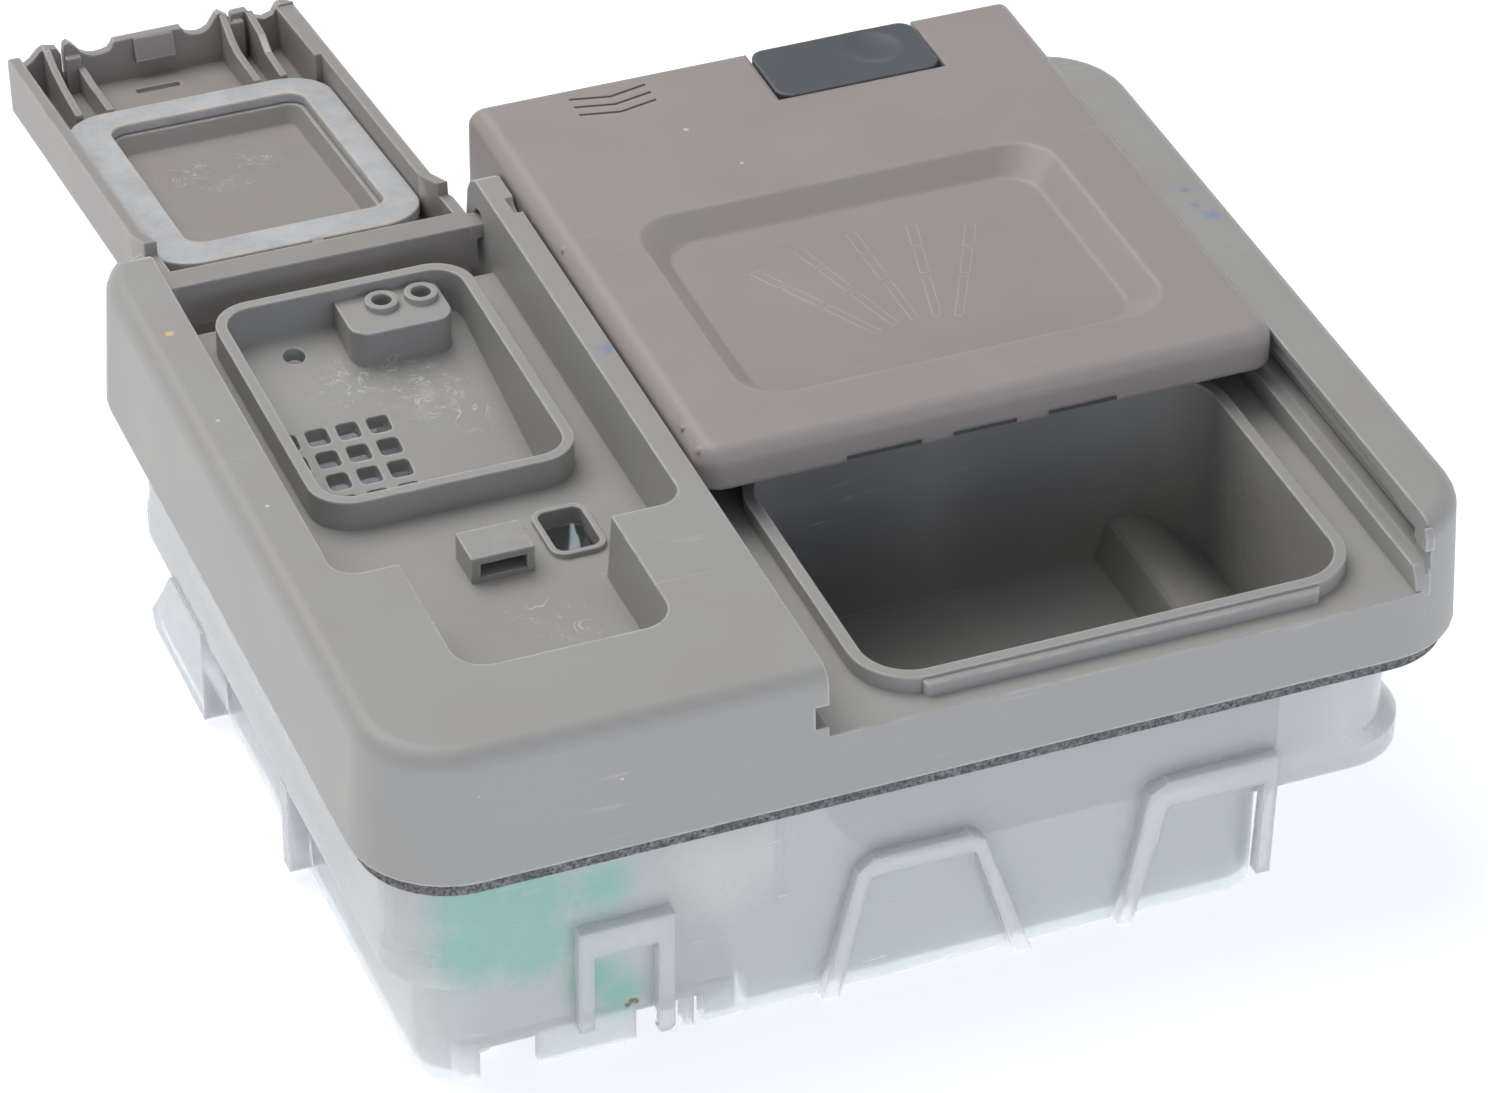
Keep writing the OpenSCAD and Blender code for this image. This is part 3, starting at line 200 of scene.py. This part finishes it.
def effect_soft_edges():
    """An edge's rounded normal, and how close a point is to the edge, 0 to 1."""
    tree, given, out = new_effect("soft_edges", {"Round": 0.0009, "Rub": 0.3},
        {"Rim": "NodeSocketFloat", "Normal": "NodeSocketVector"})
    soft = put(tree, "ShaderNodeBevel", {"Radius": given["Round"]}, samples=4).outputs["Normal"]
    own = tree.nodes.new("ShaderNodeNewGeometry").outputs["True Normal"]
    same = put(tree, "ShaderNodeVectorMath", {0: soft, 1: own}, operation="DOT_PRODUCT")
    turned = spread(tree, same.outputs["Value"], 0.978, 0.945)
    broken = spread(tree, noise(tree, piece_place(tree), 260.0, 3.0), 0.3, 0.6, 0.45, 1.0)
    # Rim is a share of pale edge colour: partly edge wear, partly a painted highlight where light would glint on
    # the edge.
    tree.links.new(times(tree, turned, broken, given["Rub"]), out["Rim"])
    tree.links.new(soft, out["Normal"])
    return tree


def effect_painted_corner_shade():
    """A mask for painted shade in a piece's own inner corners, from ambient occlusion, and how open a place is.
    """
    tree, given, out = new_effect("painted_corner_shade", {"Grime": 0.3},
        {"Corner": "NodeSocketFloat", "Open": "NodeSocketFloat"})
    near = put(tree, "ShaderNodeAmbientOcclusion", {"Distance": 0.0022}, samples=4, only_local=True)
    # The Corner mask paints shade into inner corners, where ambient occlusion finds the piece's own surfaces
    # close.
    tree.links.new(times(tree, spread(tree, near.outputs["AO"], 0.7, 0.3), given["Grime"]),
        out["Corner"])
    tree.links.new(spread(tree, near.outputs["AO"], 0.72, 0.95), out["Open"])
    return tree


def effect_hairline_scuffs():
    """Thin pale scratches in loose patches, 0 to 1."""
    tree, given, out = new_effect("hairline_scuffs", {"Amount": 0.3, "Lines per metre": 900.0},
        {"Mask": "NodeSocketFloat"})
    where = piece_place(tree)
    masks = []
    for turn, stretch in ((0.5, 0.06), (-0.9, 0.09)):
        lines = put(tree, "ShaderNodeMapping", {"Vector": where, "Rotation": (0, 0, turn),
            "Scale": (stretch, 1, 1)}).outputs["Vector"]
        found = noise(tree, lines, given["Lines per metre"], 2.0, 0.7)
        masks.append(spread(tree, found, 0.66, 0.74))
    both = maths(tree, "MAXIMUM", masks[0], masks[1])
    patches = spread(tree, noise(tree, where, 45.0, 2.0), 0.52, 0.68)
    tree.links.new(times(tree, both, patches, given["Amount"]), out["Mask"])
    return tree


def effect_curled_scratches():
    """Short curling scratches, as thin level lines of a coarse noise, broken up."""
    tree, given, out = new_effect("curled_scratches", {"Curls per metre": 190.0, "Width": 0.012},
        {"Mask": "NodeSocketFloat"})
    where = piece_place(tree)
    coarse = noise(tree, where, given["Curls per metre"], 2.0, 0.55, 1.2)
    masks = []
    for level in (0.42, 0.5, 0.57):
        off = maths(tree, "ABSOLUTE", maths(tree, "SUBTRACT", coarse, level))
        masks.append(maths(tree, "LESS_THAN", off, given["Width"]))
    lines = maths(tree, "MAXIMUM", maths(tree, "MAXIMUM", masks[0], masks[1]), masks[2])
    broken = spread(tree, noise(tree, where, 420.0, 2.0), 0.47, 0.56)
    tree.links.new(times(tree, lines, broken), out["Mask"])
    return tree


def effect_stray_specks():
    """Single pale specks of dust and lint, far apart."""
    tree, given, out = new_effect("stray_specks", {"Specks per metre": 130.0, "Amount": 0.6},
        {"Mask": "NodeSocketFloat"})
    where = piece_place(tree)
    cell = put(tree, "ShaderNodeTexVoronoi", {"Vector": where, "Scale": given["Specks per metre"],
        "Randomness": 1.0})
    small = maths(tree, "LESS_THAN", cell.outputs["Distance"], 0.013)
    lottery = put(tree, "ShaderNodeSeparateColor", {"Color": cell.outputs["Color"]}).outputs["Red"]
    few = maths(tree, "GREATER_THAN", lottery, 0.82)
    tree.links.new(times(tree, small, few, given["Amount"]), out["Mask"])
    return tree


def effect_standing_parts():
    """Frames that stand proud of the housing's near wall and its right flange, 0 or 1."""
    tree, given, out = new_effect("standing_parts", {"Right": 0.0, "Near": 0.0},
        {"Mask": "NodeSocketFloat"})
    place = put(tree, "ShaderNodeSeparateXYZ", {"Vector": piece_place(tree)}).outputs
    right = maths(tree, "GREATER_THAN", place["X"], given["Right"])
    near = maths(tree, "LESS_THAN", place["Y"], given["Near"])
    tree.links.new(maths(tree, "MAXIMUM", right, near), out["Mask"])
    return tree


def effect_spot():
    """A soft-edged spot round one place on a piece, in metres of the shared frame."""
    tree, given, out = new_effect("spot", {"X": 0.0, "Y": 0.0, "Z": 0.0, "Radius": 0.001,
        "Softness": 0.5, "Ragged": 0.3}, {"Mask": "NodeSocketFloat"})
    centre = put(tree, "ShaderNodeCombineXYZ", {k: given[k] for k in "XYZ"}).outputs["Vector"]
    where = piece_place(tree)
    away = put(tree, "ShaderNodeVectorMath", {0: where, 1: centre}, operation="DISTANCE")
    share = maths(tree, "DIVIDE", away.outputs["Value"], given["Radius"])
    waver = spread(tree, noise(tree, where, 900.0, 3.0), 0.3, 0.7, -1.0, 1.0)
    ragged = maths(tree, "ADD", share, times(tree, waver, given["Ragged"]))
    inner = maths(tree, "SUBTRACT", 1.0, given["Softness"])
    tree.links.new(spread(tree, ragged, 1.0, inner), out["Mask"])
    return tree


MOULD_GRAIN = effect_mould_grain()
SOFT_EDGES = effect_soft_edges()
PAINTED_CORNER_SHADE = effect_painted_corner_shade()
HAIRLINE_SCUFFS = effect_hairline_scuffs()
CURLED_SCRATCHES = effect_curled_scratches()
STRAY_SPECKS = effect_stray_specks()
STANDING_PARTS = effect_standing_parts()
SPOT = effect_spot()


def use_effect(tree, group, **values):
    node = tree.nodes.new("ShaderNodeGroup")
    node.node_tree = group
    for key, value in values.items():
        node.inputs[key.replace("_", " ")].default_value = value
    return node.outputs


def spot(tree, place, radius, softness=0.5, ragged=0.3):
    x, y, z = at(*place)
    return use_effect(tree, SPOT, X=x, Y=y, Z=z, Radius=radius * MM, Softness=softness,
        Ragged=ragged)["Mask"]


def new_material(name):
    material = bpy.data.materials.new(name)
    material.use_nodes = True
    return material.node_tree, material.node_tree.nodes["Principled BSDF"].inputs, material


def mix_colour(tree, share, first, second):
    node = put(tree, "ShaderNodeMix", data_type="RGBA")
    for socket, value in ((node.inputs[0], share), (node.inputs[6], first), (node.inputs[7], second)):
        if isinstance(value, bpy.types.NodeSocket):
            tree.links.new(value, socket)
        else:
            socket.default_value = value
    return node.outputs[2]


def plain_plastic(name, tone, rough, drift=0.035, scuffs=0.15, grain=0.05):
    """Opaque moulded plastic away from view: drift of tone, grain and hairlines."""
    tree, shader, material = new_material(name)
    skin = use_effect(tree, MOULD_GRAIN)
    scratch = use_effect(tree, HAIRLINE_SCUFFS, Amount=scuffs)
    dark = [c * (1 - drift) for c in tone] + [1]
    light = [min(1, c * (1 + drift)) for c in tone] + [1]
    pale_tone = [min(1, c * 1.3 + 0.05) for c in tone] + [1]
    body = mix_colour(tree, spread(tree, skin["Drift"], 0.35, 0.65), dark, light)
    tree.links.new(mix_colour(tree, scratch["Mask"], body, pale_tone), shader["Base Color"])
    tree.links.new(spread(tree, skin["Drift"], 0.3, 0.7, rough - 0.04, rough + 0.05),
        shader["Roughness"])
    bump = put(tree, "ShaderNodeBump", {"Strength": grain, "Distance": 0.0003,
        "Height": skin["Height"]})
    tree.links.new(bump.outputs["Normal"], shader["Normal"])
    return material


def moulded_plastic(name, tone, rough, drift=0.02, scuffs=0.15, edge_wear_and_glint=0.3, corner_shade=0.35, grain=0.05,
        soft=0.9, specks=0.5, pale_tone=None, corner_tone=0.45, marks=(), matt=None):
    """Opaque moulded plastic: drift of tone, grain, pale edges that are partly wear and partly a painted
    highlight, inner corners with painted shade (painted light where corner_tone is above 1), hairlines, specks
    and local marks.

    Each mark is a mask builder with its colour and share.
    """
    tree, shader, material = new_material(name)
    skin = use_effect(tree, MOULD_GRAIN)
    edge = use_effect(tree, SOFT_EDGES, Round=soft * MM, Rub=edge_wear_and_glint)
    corner = use_effect(tree, PAINTED_CORNER_SHADE, Grime=corner_shade)
    scratch = use_effect(tree, HAIRLINE_SCUFFS, Amount=scuffs)
    dust = use_effect(tree, STRAY_SPECKS, Amount=specks)
    warm = [c * (1 - drift * k) for c, k in zip(tone, (0.4, 0.9, 1.8))] + [1]
    cool = [min(1, c * (1 + drift * k)) for c, k in zip(tone, (0.4, 0.7, 1.4))] + [1]
    pale_tone = list(pale_tone or [min(1, c * 1.9 + 0.12) for c in tone]) + [1]
    painted_corner_tone = [min(1, c * corner_tone) for c in tone] + [1]
    body = mix_colour(tree, spread(tree, skin["Drift"], 0.35, 0.65), warm, cool)
    # Painted shade: inner corners take a darker tone; where corner_tone is above 1 they are painted lighter
    # instead, a painted light.
    body = mix_colour(tree, corner["Corner"], body, painted_corner_tone)
    # Marks can carry painted shade, as on the panel's chamber.
    for build, colour, share in marks:
        body = mix_colour(tree, times(tree, build(tree), share), body, list(colour) + [1])
    # Pale edges: partly wear, partly a painted highlight along the edges.
    rim = times(tree, edge["Rim"], corner["Open"])
    pale = maths(tree, "MAXIMUM", maths(tree, "MAXIMUM", rim, scratch["Mask"]), dust["Mask"])
    tree.links.new(mix_colour(tree, pale, body, pale_tone), shader["Base Color"])
    satin = spread(tree, skin["Drift"], 0.3, 0.7, rough - 0.04, rough + 0.05)
    burnished = times(tree, maths(tree, "SUBTRACT", 1.0, times(tree, rim, 0.5)), satin)
    if matt:
        burnished = maths(tree, "MAXIMUM", burnished, times(tree, matt(tree), 0.95))
    tree.links.new(burnished, shader["Roughness"])
    bump = put(tree, "ShaderNodeBump", {"Strength": grain, "Distance": 0.0003, "Height": skin["Height"],
        "Normal": edge["Normal"]})
    tree.links.new(bump.outputs["Normal"], shader["Normal"])
    return material


def milky_plastic(name, thin, thick, rough=0.15, clear=0.6, proud=None, marks=()):
    """See-through milky polypropylene: light passes and is blurred; ribs look whiter and edges get a painted
    white highlight.
    """
    tree, shader, material = new_material(name)
    skin = use_effect(tree, MOULD_GRAIN, Grain_per_metre=1200.0, Waves_per_metre=35.0)
    edge = use_effect(tree, SOFT_EDGES, Round=0.6 * MM, Rub=1.0)
    dust = use_effect(tree, STRAY_SPECKS, Specks_per_metre=190.0, Amount=0.8)
    scratch = use_effect(tree, HAIRLINE_SCUFFS, Amount=0.6)
    shader["Transmission Weight"].default_value = clear
    shader["IOR"].default_value = 1.46
    shader["Subsurface Weight"].default_value = 1.0
    shader["Subsurface Radius"].default_value = (0.003, 0.003, 0.003)
    shader["Subsurface Scale"].default_value = 1.0
    body = mix_colour(tree, spread(tree, skin["Drift"], 0.3, 0.7), list(thin) + [1],
        list(thick) + [1])
    # Marks here include the painted glow of inner parts seen through the wall.
    for build, colour, share in marks:
        body = mix_colour(tree, times(tree, build(tree), share), body, list(colour) + [1])
    if proud:
        corner = at(*proud)
        standing = use_effect(tree, STANDING_PARTS, Right=corner.x, Near=corner.y)
        body = mix_colour(tree, times(tree, standing["Mask"], 0.75), body, (0.97, 0.985, 1.0, 1))
    # Whiter edges are a painted highlight; the dust specks and scratches are real.
    pale = maths(tree, "MAXIMUM", maths(tree, "MAXIMUM", edge["Rim"], dust["Mask"]), scratch["Mask"])
    tree.links.new(mix_colour(tree, pale, body, (1, 1, 1, 1)), shader["Base Color"])
    satin = spread(tree, skin["Drift"], 0.3, 0.7, rough - 0.05, rough + 0.08)
    tree.links.new(maths(tree, "MAXIMUM", satin, pale), shader["Roughness"])
    bump = put(tree, "ShaderNodeBump", {"Strength": 0.1, "Distance": 0.0004,
        "Height": skin["Height"]})
    tree.links.new(bump.outputs["Normal"], shader["Normal"])
    return material


def foam_rubber():
    tree, shader, material = new_material("black_foam")
    where = piece_place(tree)
    cells = put(tree, "ShaderNodeTexVoronoi", {"Vector": where, "Scale": 2200.0})
    depth = cells.outputs["Distance"]
    body = mix_colour(tree, spread(tree, depth, 0.1, 0.6), (0.02, 0.02, 0.022, 1),
        (0.11, 0.11, 0.115, 1))
    lint = spread(tree, noise(tree, where, 1700.0, 4.0, 0.7), 0.42, 0.66)
    patches = spread(tree, noise(tree, where, 160.0, 2.0), 0.35, 0.6, 0.5, 1.0)
    tree.links.new(mix_colour(tree, times(tree, lint, patches, 0.8), body, (0.36, 0.365, 0.375, 1)),
        shader["Base Color"])
    shader["Roughness"].default_value = 0.85
    bump = put(tree, "ShaderNodeBump", {"Strength": 0.6, "Distance": 0.0003, "Height": depth})
    tree.links.new(bump.outputs["Normal"], shader["Normal"])
    return material


def metal(name, tone, rough):
    tree, shader, material = new_material(name)
    skin = use_effect(tree, MOULD_GRAIN, Grain_per_metre=1800.0)
    shader["Metallic"].default_value = 1.0
    tree.links.new(mix_colour(tree, skin["Height"], [c * 0.9 for c in tone] + [1], list(tone) + [1]),
        shader["Base Color"])
    tree.links.new(spread(tree, skin["Drift"], 0.3, 0.7, rough - 0.06, rough + 0.08),
        shader["Roughness"])
    return material


# Local marks, painted shade and painted glow, at their places on the real object in mm

def spots(places, softness=0.5, ragged=0.3):
    """A mask builder for round marks; each place is x, y, z and radius."""
    def build(tree):
        masks = [spot(tree, place[:3], place[3], softness, ragged) for place in places]
        total = masks[0]
        for mask in masks[1:]:
            total = maths(tree, "MAXIMUM", total, mask)
        return total
    return build


def curls(places, density=190.0, width=0.012):
    """A mask builder for curling scratches inside round patches."""
    def build(tree):
        lines = use_effect(tree, CURLED_SCRATCHES, Curls_per_metre=density, Width=width)["Mask"]
        return times(tree, spots(places, 0.7)(tree), lines)
    return build


def cloudy(places, scale=380.0):
    """A mask builder for pale rubbed haze inside round patches."""
    def build(tree):
        haze = spread(tree, noise(tree, piece_place(tree), scale, 4.0, 0.65), 0.45, 0.7)
        return times(tree, spots(places, 0.9)(tree), haze)
    return build


def mottled(scale, low, high):
    """A mask builder for an even, all-over mottling."""
    def build(tree):
        return spread(tree, noise(tree, piece_place(tree), scale, 5.0, 0.7), low, high)
    return build


SCRATCH_TONE = (0.62, 0.62, 0.6)
PANEL_MARKS_AND_SHADE = (
    (spots([(66.2, 86.7, 22, 2.1), (166.8, 87.2, 22, 1.9), (165.5, 90.7, 22, 1.4),
        (165.8, 95.2, 22, 1.2)], 0.9), (0.2, 0.29, 0.47), 0.7),
    (spots([(6.2, 114, 22, 0.8)], 0.3), (0.75, 0.55, 0.27), 0.95),
    (spots([(3.3, 67.4, 21.5, 0.5), (6.1, 66.6, 22, 0.4), (6.0, 89.7, 22, 0.4)], 0.3),
        (0.68, 0.68, 0.66), 0.8),
    (spots([(15, 0.5, 14.7, 0.35), (36, 0.6, 12, 0.3)], 0.3), (0.7, 0.64, 0.45), 0.8),
    (curls([(34, 113.2, 5.5, 7), (40.4, 115.4, 5.5, 6), (44, 109.4, 5.5, 8), (45.6, 104.7, 5.5, 6),
        (49, 100.6, 5.5, 5)]), SCRATCH_TONE, 0.75),
    (cloudy([(44, 108, 5.5, 9)]), SCRATCH_TONE, 0.35),
    (curls([(38.8, 43.7, 10.8, 5), (42, 38, 10.8, 6)], 150.0, 0.01), SCRATCH_TONE, 0.65),
    (cloudy([(40, 52.5, 15.2, 6), (152.6, 44.4, 0, 12), (150, 40, -8, 9)]), SCRATCH_TONE, 0.45),
    # Painted shade: a dark patch on the chamber's far wall and floor, where the lid keeps the light out.
    (spots([(92, 72, -2, 36), (120, 73, -2, 30)], 1.0, 0.0), (0.09, 0.095, 0.11), 1.0),
)
HOUSING_MARKS_AND_GLOW = (
    # Painted glow: the pale green-white, green and cream patches stand for inner parts seen through the milky
    # wall.
    (spots([(26, 6, -22, 32), (12, 12, -28, 24)], 0.9, 0.05), (0.94, 0.99, 0.96), 0.9),
    (spots([(16, 6, -9, 9), (24, 6, -11, 9), (16, 6, -17, 9), (24, 6, -19, 9), (20, 6, -14, 9)],
        0.6, 0.12), (0.46, 0.82, 0.7), 0.8),
    (spots([(35, 6, -11, 6.5), (34, 6, -28, 6), (37.5, 6, -32, 5.5)], 0.8, 0.12),
        (0.42, 0.84, 0.68), 0.8),
    (spots([(53, 6, -12, 12)], 1.0, 0.1), (1.0, 0.98, 0.88), 1.0),
    # Real specks of brown dirt and white residue.
    (spots([(39.5, 6, -33.9, 0.7), (38.7, 6, -34.6, 0.6), (40.1, 6, -34.2, 0.45)], 0.5), (0.3, 0.19, 0.1), 0.85),
    (spots([(41.1, 6, -34.9, 0.9), (41.9, 6, -35.9, 0.8)], 0.6), (1.0, 1.0, 1.0), 0.8),
)
CHAMBER_SHADE = spots([(92, 72, -2, 42), (122, 73, -2, 34)], 1.0, 0.0)
LID_MARKS = (
    (spots([(97.7, 135.1, 25, 0.5), (102.3, 122.8, 25, 0.4), (100.2, 107.8, 25, 0.4)], 0.3),
        (0.66, 0.63, 0.6), 0.8),
)
FLAP_CUP = ((27.9, 181.0, 7.6), (31.0, 182.7, 7.4), (40.4, 183.0, 7.4), (42.3, 182.5, 7.5),
    (34.5, 176.2, 8.2))
FLAP_MARKS = (
    (curls([place + (5.3,) for place in FLAP_CUP], 260.0, 0.008), (0.9, 0.88, 0.85), 1.0),
    (cloudy([place + (5.3,) for place in FLAP_CUP], 700.0), (0.52, 0.51, 0.5), 0.3),
    (mottled(190.0, 0.5, 0.72), (0.27, 0.265, 0.26), 0.3),
)
SEAL_MARKS = (
    (mottled(140.0, 0.42, 0.66), (0.37, 0.385, 0.41), 0.6),
    (mottled(900.0, 0.52, 0.68), (0.66, 0.66, 0.66), 0.3),
)


# Raised lines on the lid

DISH_FLOOR = 21.5
FAN_MIDDLE = (113.0, 64.0)
FAN_TURNS = (-28, -14.4, -0.5, 13.8, 27.4)
FAN_DASHES = ((14.0, 24.6, 0.68), (25.8, 32.6, 0.74), (33.4, 39.0, 0.82))
LINE_WIDTH = 0.36
LINE_HEIGHT = 0.055
LINE_SINK = 0.05


def fan_outlines():
    """The outline of each dash of a five-rayed spray in the lid's dish."""
    outlines = []
    for turn in FAN_TURNS:
        a = math.radians(turn)
        along, across = Vector((math.sin(a), math.cos(a))), Vector((math.cos(a), -math.sin(a)))
        for near, far, half in FAN_DASHES:
            outlines.append([Vector(FAN_MIDDLE) + along * r + across * s
                for r, s in ((near, -half), (far, -half), (far, half), (near, half))])
    return outlines


def add_raised_line(mesh, path, height, closed):
    """One thin raised line with a rounded top, along a path on a level face."""
    half = LINE_WIDTH / 2
    profile = ((-half, -LINE_SINK), (-half * 0.6, LINE_HEIGHT * 0.75), (0, LINE_HEIGHT),
        (half * 0.6, LINE_HEIGHT * 0.75), (half, -LINE_SINK))
    count = len(path)
    rows = []
    for i, point in enumerate(path):
        before = path[i - 1] if closed or i else path[i] * 2 - path[i + 1]
        after = path[(i + 1) % count] if closed or i < count - 1 else path[i] * 2 - path[i - 1]
        u, v = (point - before).normalized(), (after - point).normalized()
        side = Vector((-(u + v).y, (u + v).x)).normalized()
        side /= max(0.5, side.dot(Vector((-u.y, u.x))))
        rows.append([mesh.verts.new(at(*(point + side * s), height + z)) for s, z in profile])
    for i in range(count if closed else count - 1):
        a, b = rows[i], rows[(i + 1) % count]
        for k in range(len(profile)):
            n = (k + 1) % len(profile)
            mesh.faces.new((a[k], a[n], b[n], b[k]))
    if not closed:
        mesh.faces.new(rows[0])
        mesh.faces.new(reversed(rows[-1]))


def raised_lines(name, paths, height, closed, body, material):
    mesh = bmesh.new()
    for path in paths:
        add_raised_line(mesh, path, height, closed)
    bmesh.ops.recalc_face_normals(mesh, faces=mesh.faces)
    data = bpy.data.meshes.new(name)
    mesh.to_mesh(data)
    mesh.free()
    for face in data.polygons:
        face.use_smooth = True
    data.materials.append(material)
    piece = bpy.data.objects.new(name, data)
    bpy.context.scene.collection.objects.link(piece)
    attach(piece, body)


# Dressing the CAD pieces

def dress(material, *names):
    for name in names:
        nodes[name].material_slots[0].material = material


def round_edges(width, *names):
    """Gives CAD solids the small radius that every moulded edge has."""
    for name in names:
        piece = nodes[name]
        for face in piece.data.polygons:
            face.use_smooth = True
        weld = piece.modifiers.new("weld", "WELD")
        weld.merge_threshold = 0.000002
        flat = piece.modifiers.new("flat_faces", "DECIMATE")
        flat.decimate_type = "DISSOLVE"
        flat.angle_limit = math.radians(0.4)
        bevel = piece.modifiers.new("edge_radius", "BEVEL")
        bevel.width = width * MM
        bevel.segments = 2
        bevel.limit_method = "ANGLE"
        bevel.angle_limit = math.radians(30)
        shading = piece.modifiers.new("even_shading", "WEIGHTED_NORMAL")
        shading.keep_sharp = False


def dress_outside():
    # Lid corners and grooves are painted lighter (corner_tone 1.45): a painted light that offsets their shade.
    lid_grey = moulded_plastic("lid_grey", (0.356, 0.319, 0.305), 0.42, edge_wear_and_glint=0.2, corner_shade=0.8, soft=1.2, specks=0.35,
        corner_tone=1.45,
        marks=LID_MARKS)
    dress(moulded_plastic("panel_grey", (0.368, 0.364, 0.352), 0.44, edge_wear_and_glint=0.9, corner_shade=0.2, soft=0.6,
        marks=PANEL_MARKS_AND_SHADE, matt=CHAMBER_SHADE),
        "front_panel")
    dress(lid_grey, "detergent_lid")
    dress(moulded_plastic("flap_grey", (0.335, 0.313, 0.298), 0.42, edge_wear_and_glint=0.8, corner_shade=0.2, soft=0.6,
        marks=FLAP_MARKS), "rinse_flap")
    dress(moulded_plastic("button_slate", (0.095, 0.11, 0.125), 0.36, edge_wear_and_glint=0.3, soft=0.7),
        "lid_button")
    dress(moulded_plastic("flap_seal_blue", (0.54, 0.555, 0.58), 0.34, scuffs=0.4, edge_wear_and_glint=1.0, soft=0.6,
        pale_tone=(0.88, 0.74, 0.5), marks=SEAL_MARKS), "flap_seal")
    dress(plain_plastic("lid_seal_grey", (0.1, 0.105, 0.11), 0.5), "lid_seal")
    dress(milky_plastic("milky_polypropylene", (0.73, 0.765, 0.785), (0.77, 0.8, 0.815), 0.18, 0.42,
        (141.3, 5.7, 0), HOUSING_MARKS_AND_GLOW), "rear_housing", "service_cover")
    dress(foam_rubber(), "flange_seal")
    # The spray lines are painted a little lighter than the lid: a painted light that offsets the dark shading of
    # their sides.
    lightened_line_grey = plain_plastic("lid_line_grey_lightened", (0.42, 0.385, 0.37), 0.42)
    raised_lines("lid_spray_lines", fan_outlines(), DISH_FLOOR, True, "lid", lightened_line_grey)


def dress_inside():
    dress(plain_plastic("drive_green", (0.03, 0.85, 0.55), 0.4), "actuator_frame")
    dress(plain_plastic("lever_cream", (0.82, 0.76, 0.5), 0.4), "trip_lever", "coil_bobbin")
    dress(plain_plastic("catch_white", (0.75, 0.75, 0.72), 0.4), "catch_bar")
    dress(milky_plastic("dosing_clear", (0.8, 0.84, 0.84), (0.88, 0.9, 0.9), 0.15, 0.9),
        "dosing_chamber")
    dress(plain_plastic("valve_grey", (0.09, 0.095, 0.1), 0.4), "valve_stem")
    dress(plain_plastic("float_white", (0.72, 0.7, 0.64), 0.5), "level_float")
    dress(plain_plastic("rubber_black", (0.03, 0.03, 0.032), 0.6), "valve_seal")
    dress(metal("spring_steel", (0.62, 0.63, 0.65), 0.3), "button_spring", "plunger_spring",
        "catch_spring", "valve_spring")
    dress(metal("plain_steel", (0.85, 0.86, 0.86), 0.5), "plunger", "lever_pin", "cover_screws")
    dress(metal("plated_steel", (0.95, 0.93, 0.84), 0.65), "coil_yoke")
    dress(metal("magnet_dark", (0.12, 0.12, 0.13), 0.5), "float_magnet")
    dress(metal("winding_copper", (0.65, 0.3, 0.14), 0.35), "coil_winding")
    dress(metal("contact_tin", (0.7, 0.68, 0.6), 0.3), "contact_blades")
    dress(milky_plastic("reed_glass", (0.7, 0.82, 0.76), (0.78, 0.88, 0.82), 0.1, 0.9),
        "reed_switch")


make_camera()
make_floor()
make_light()
dress_outside()
dress_inside()
round_edges(0.28, "front_panel", "detergent_lid", "rinse_flap", "lid_button")
round_edges(0.3, "flap_seal")
round_edges(0.45, "rear_housing")
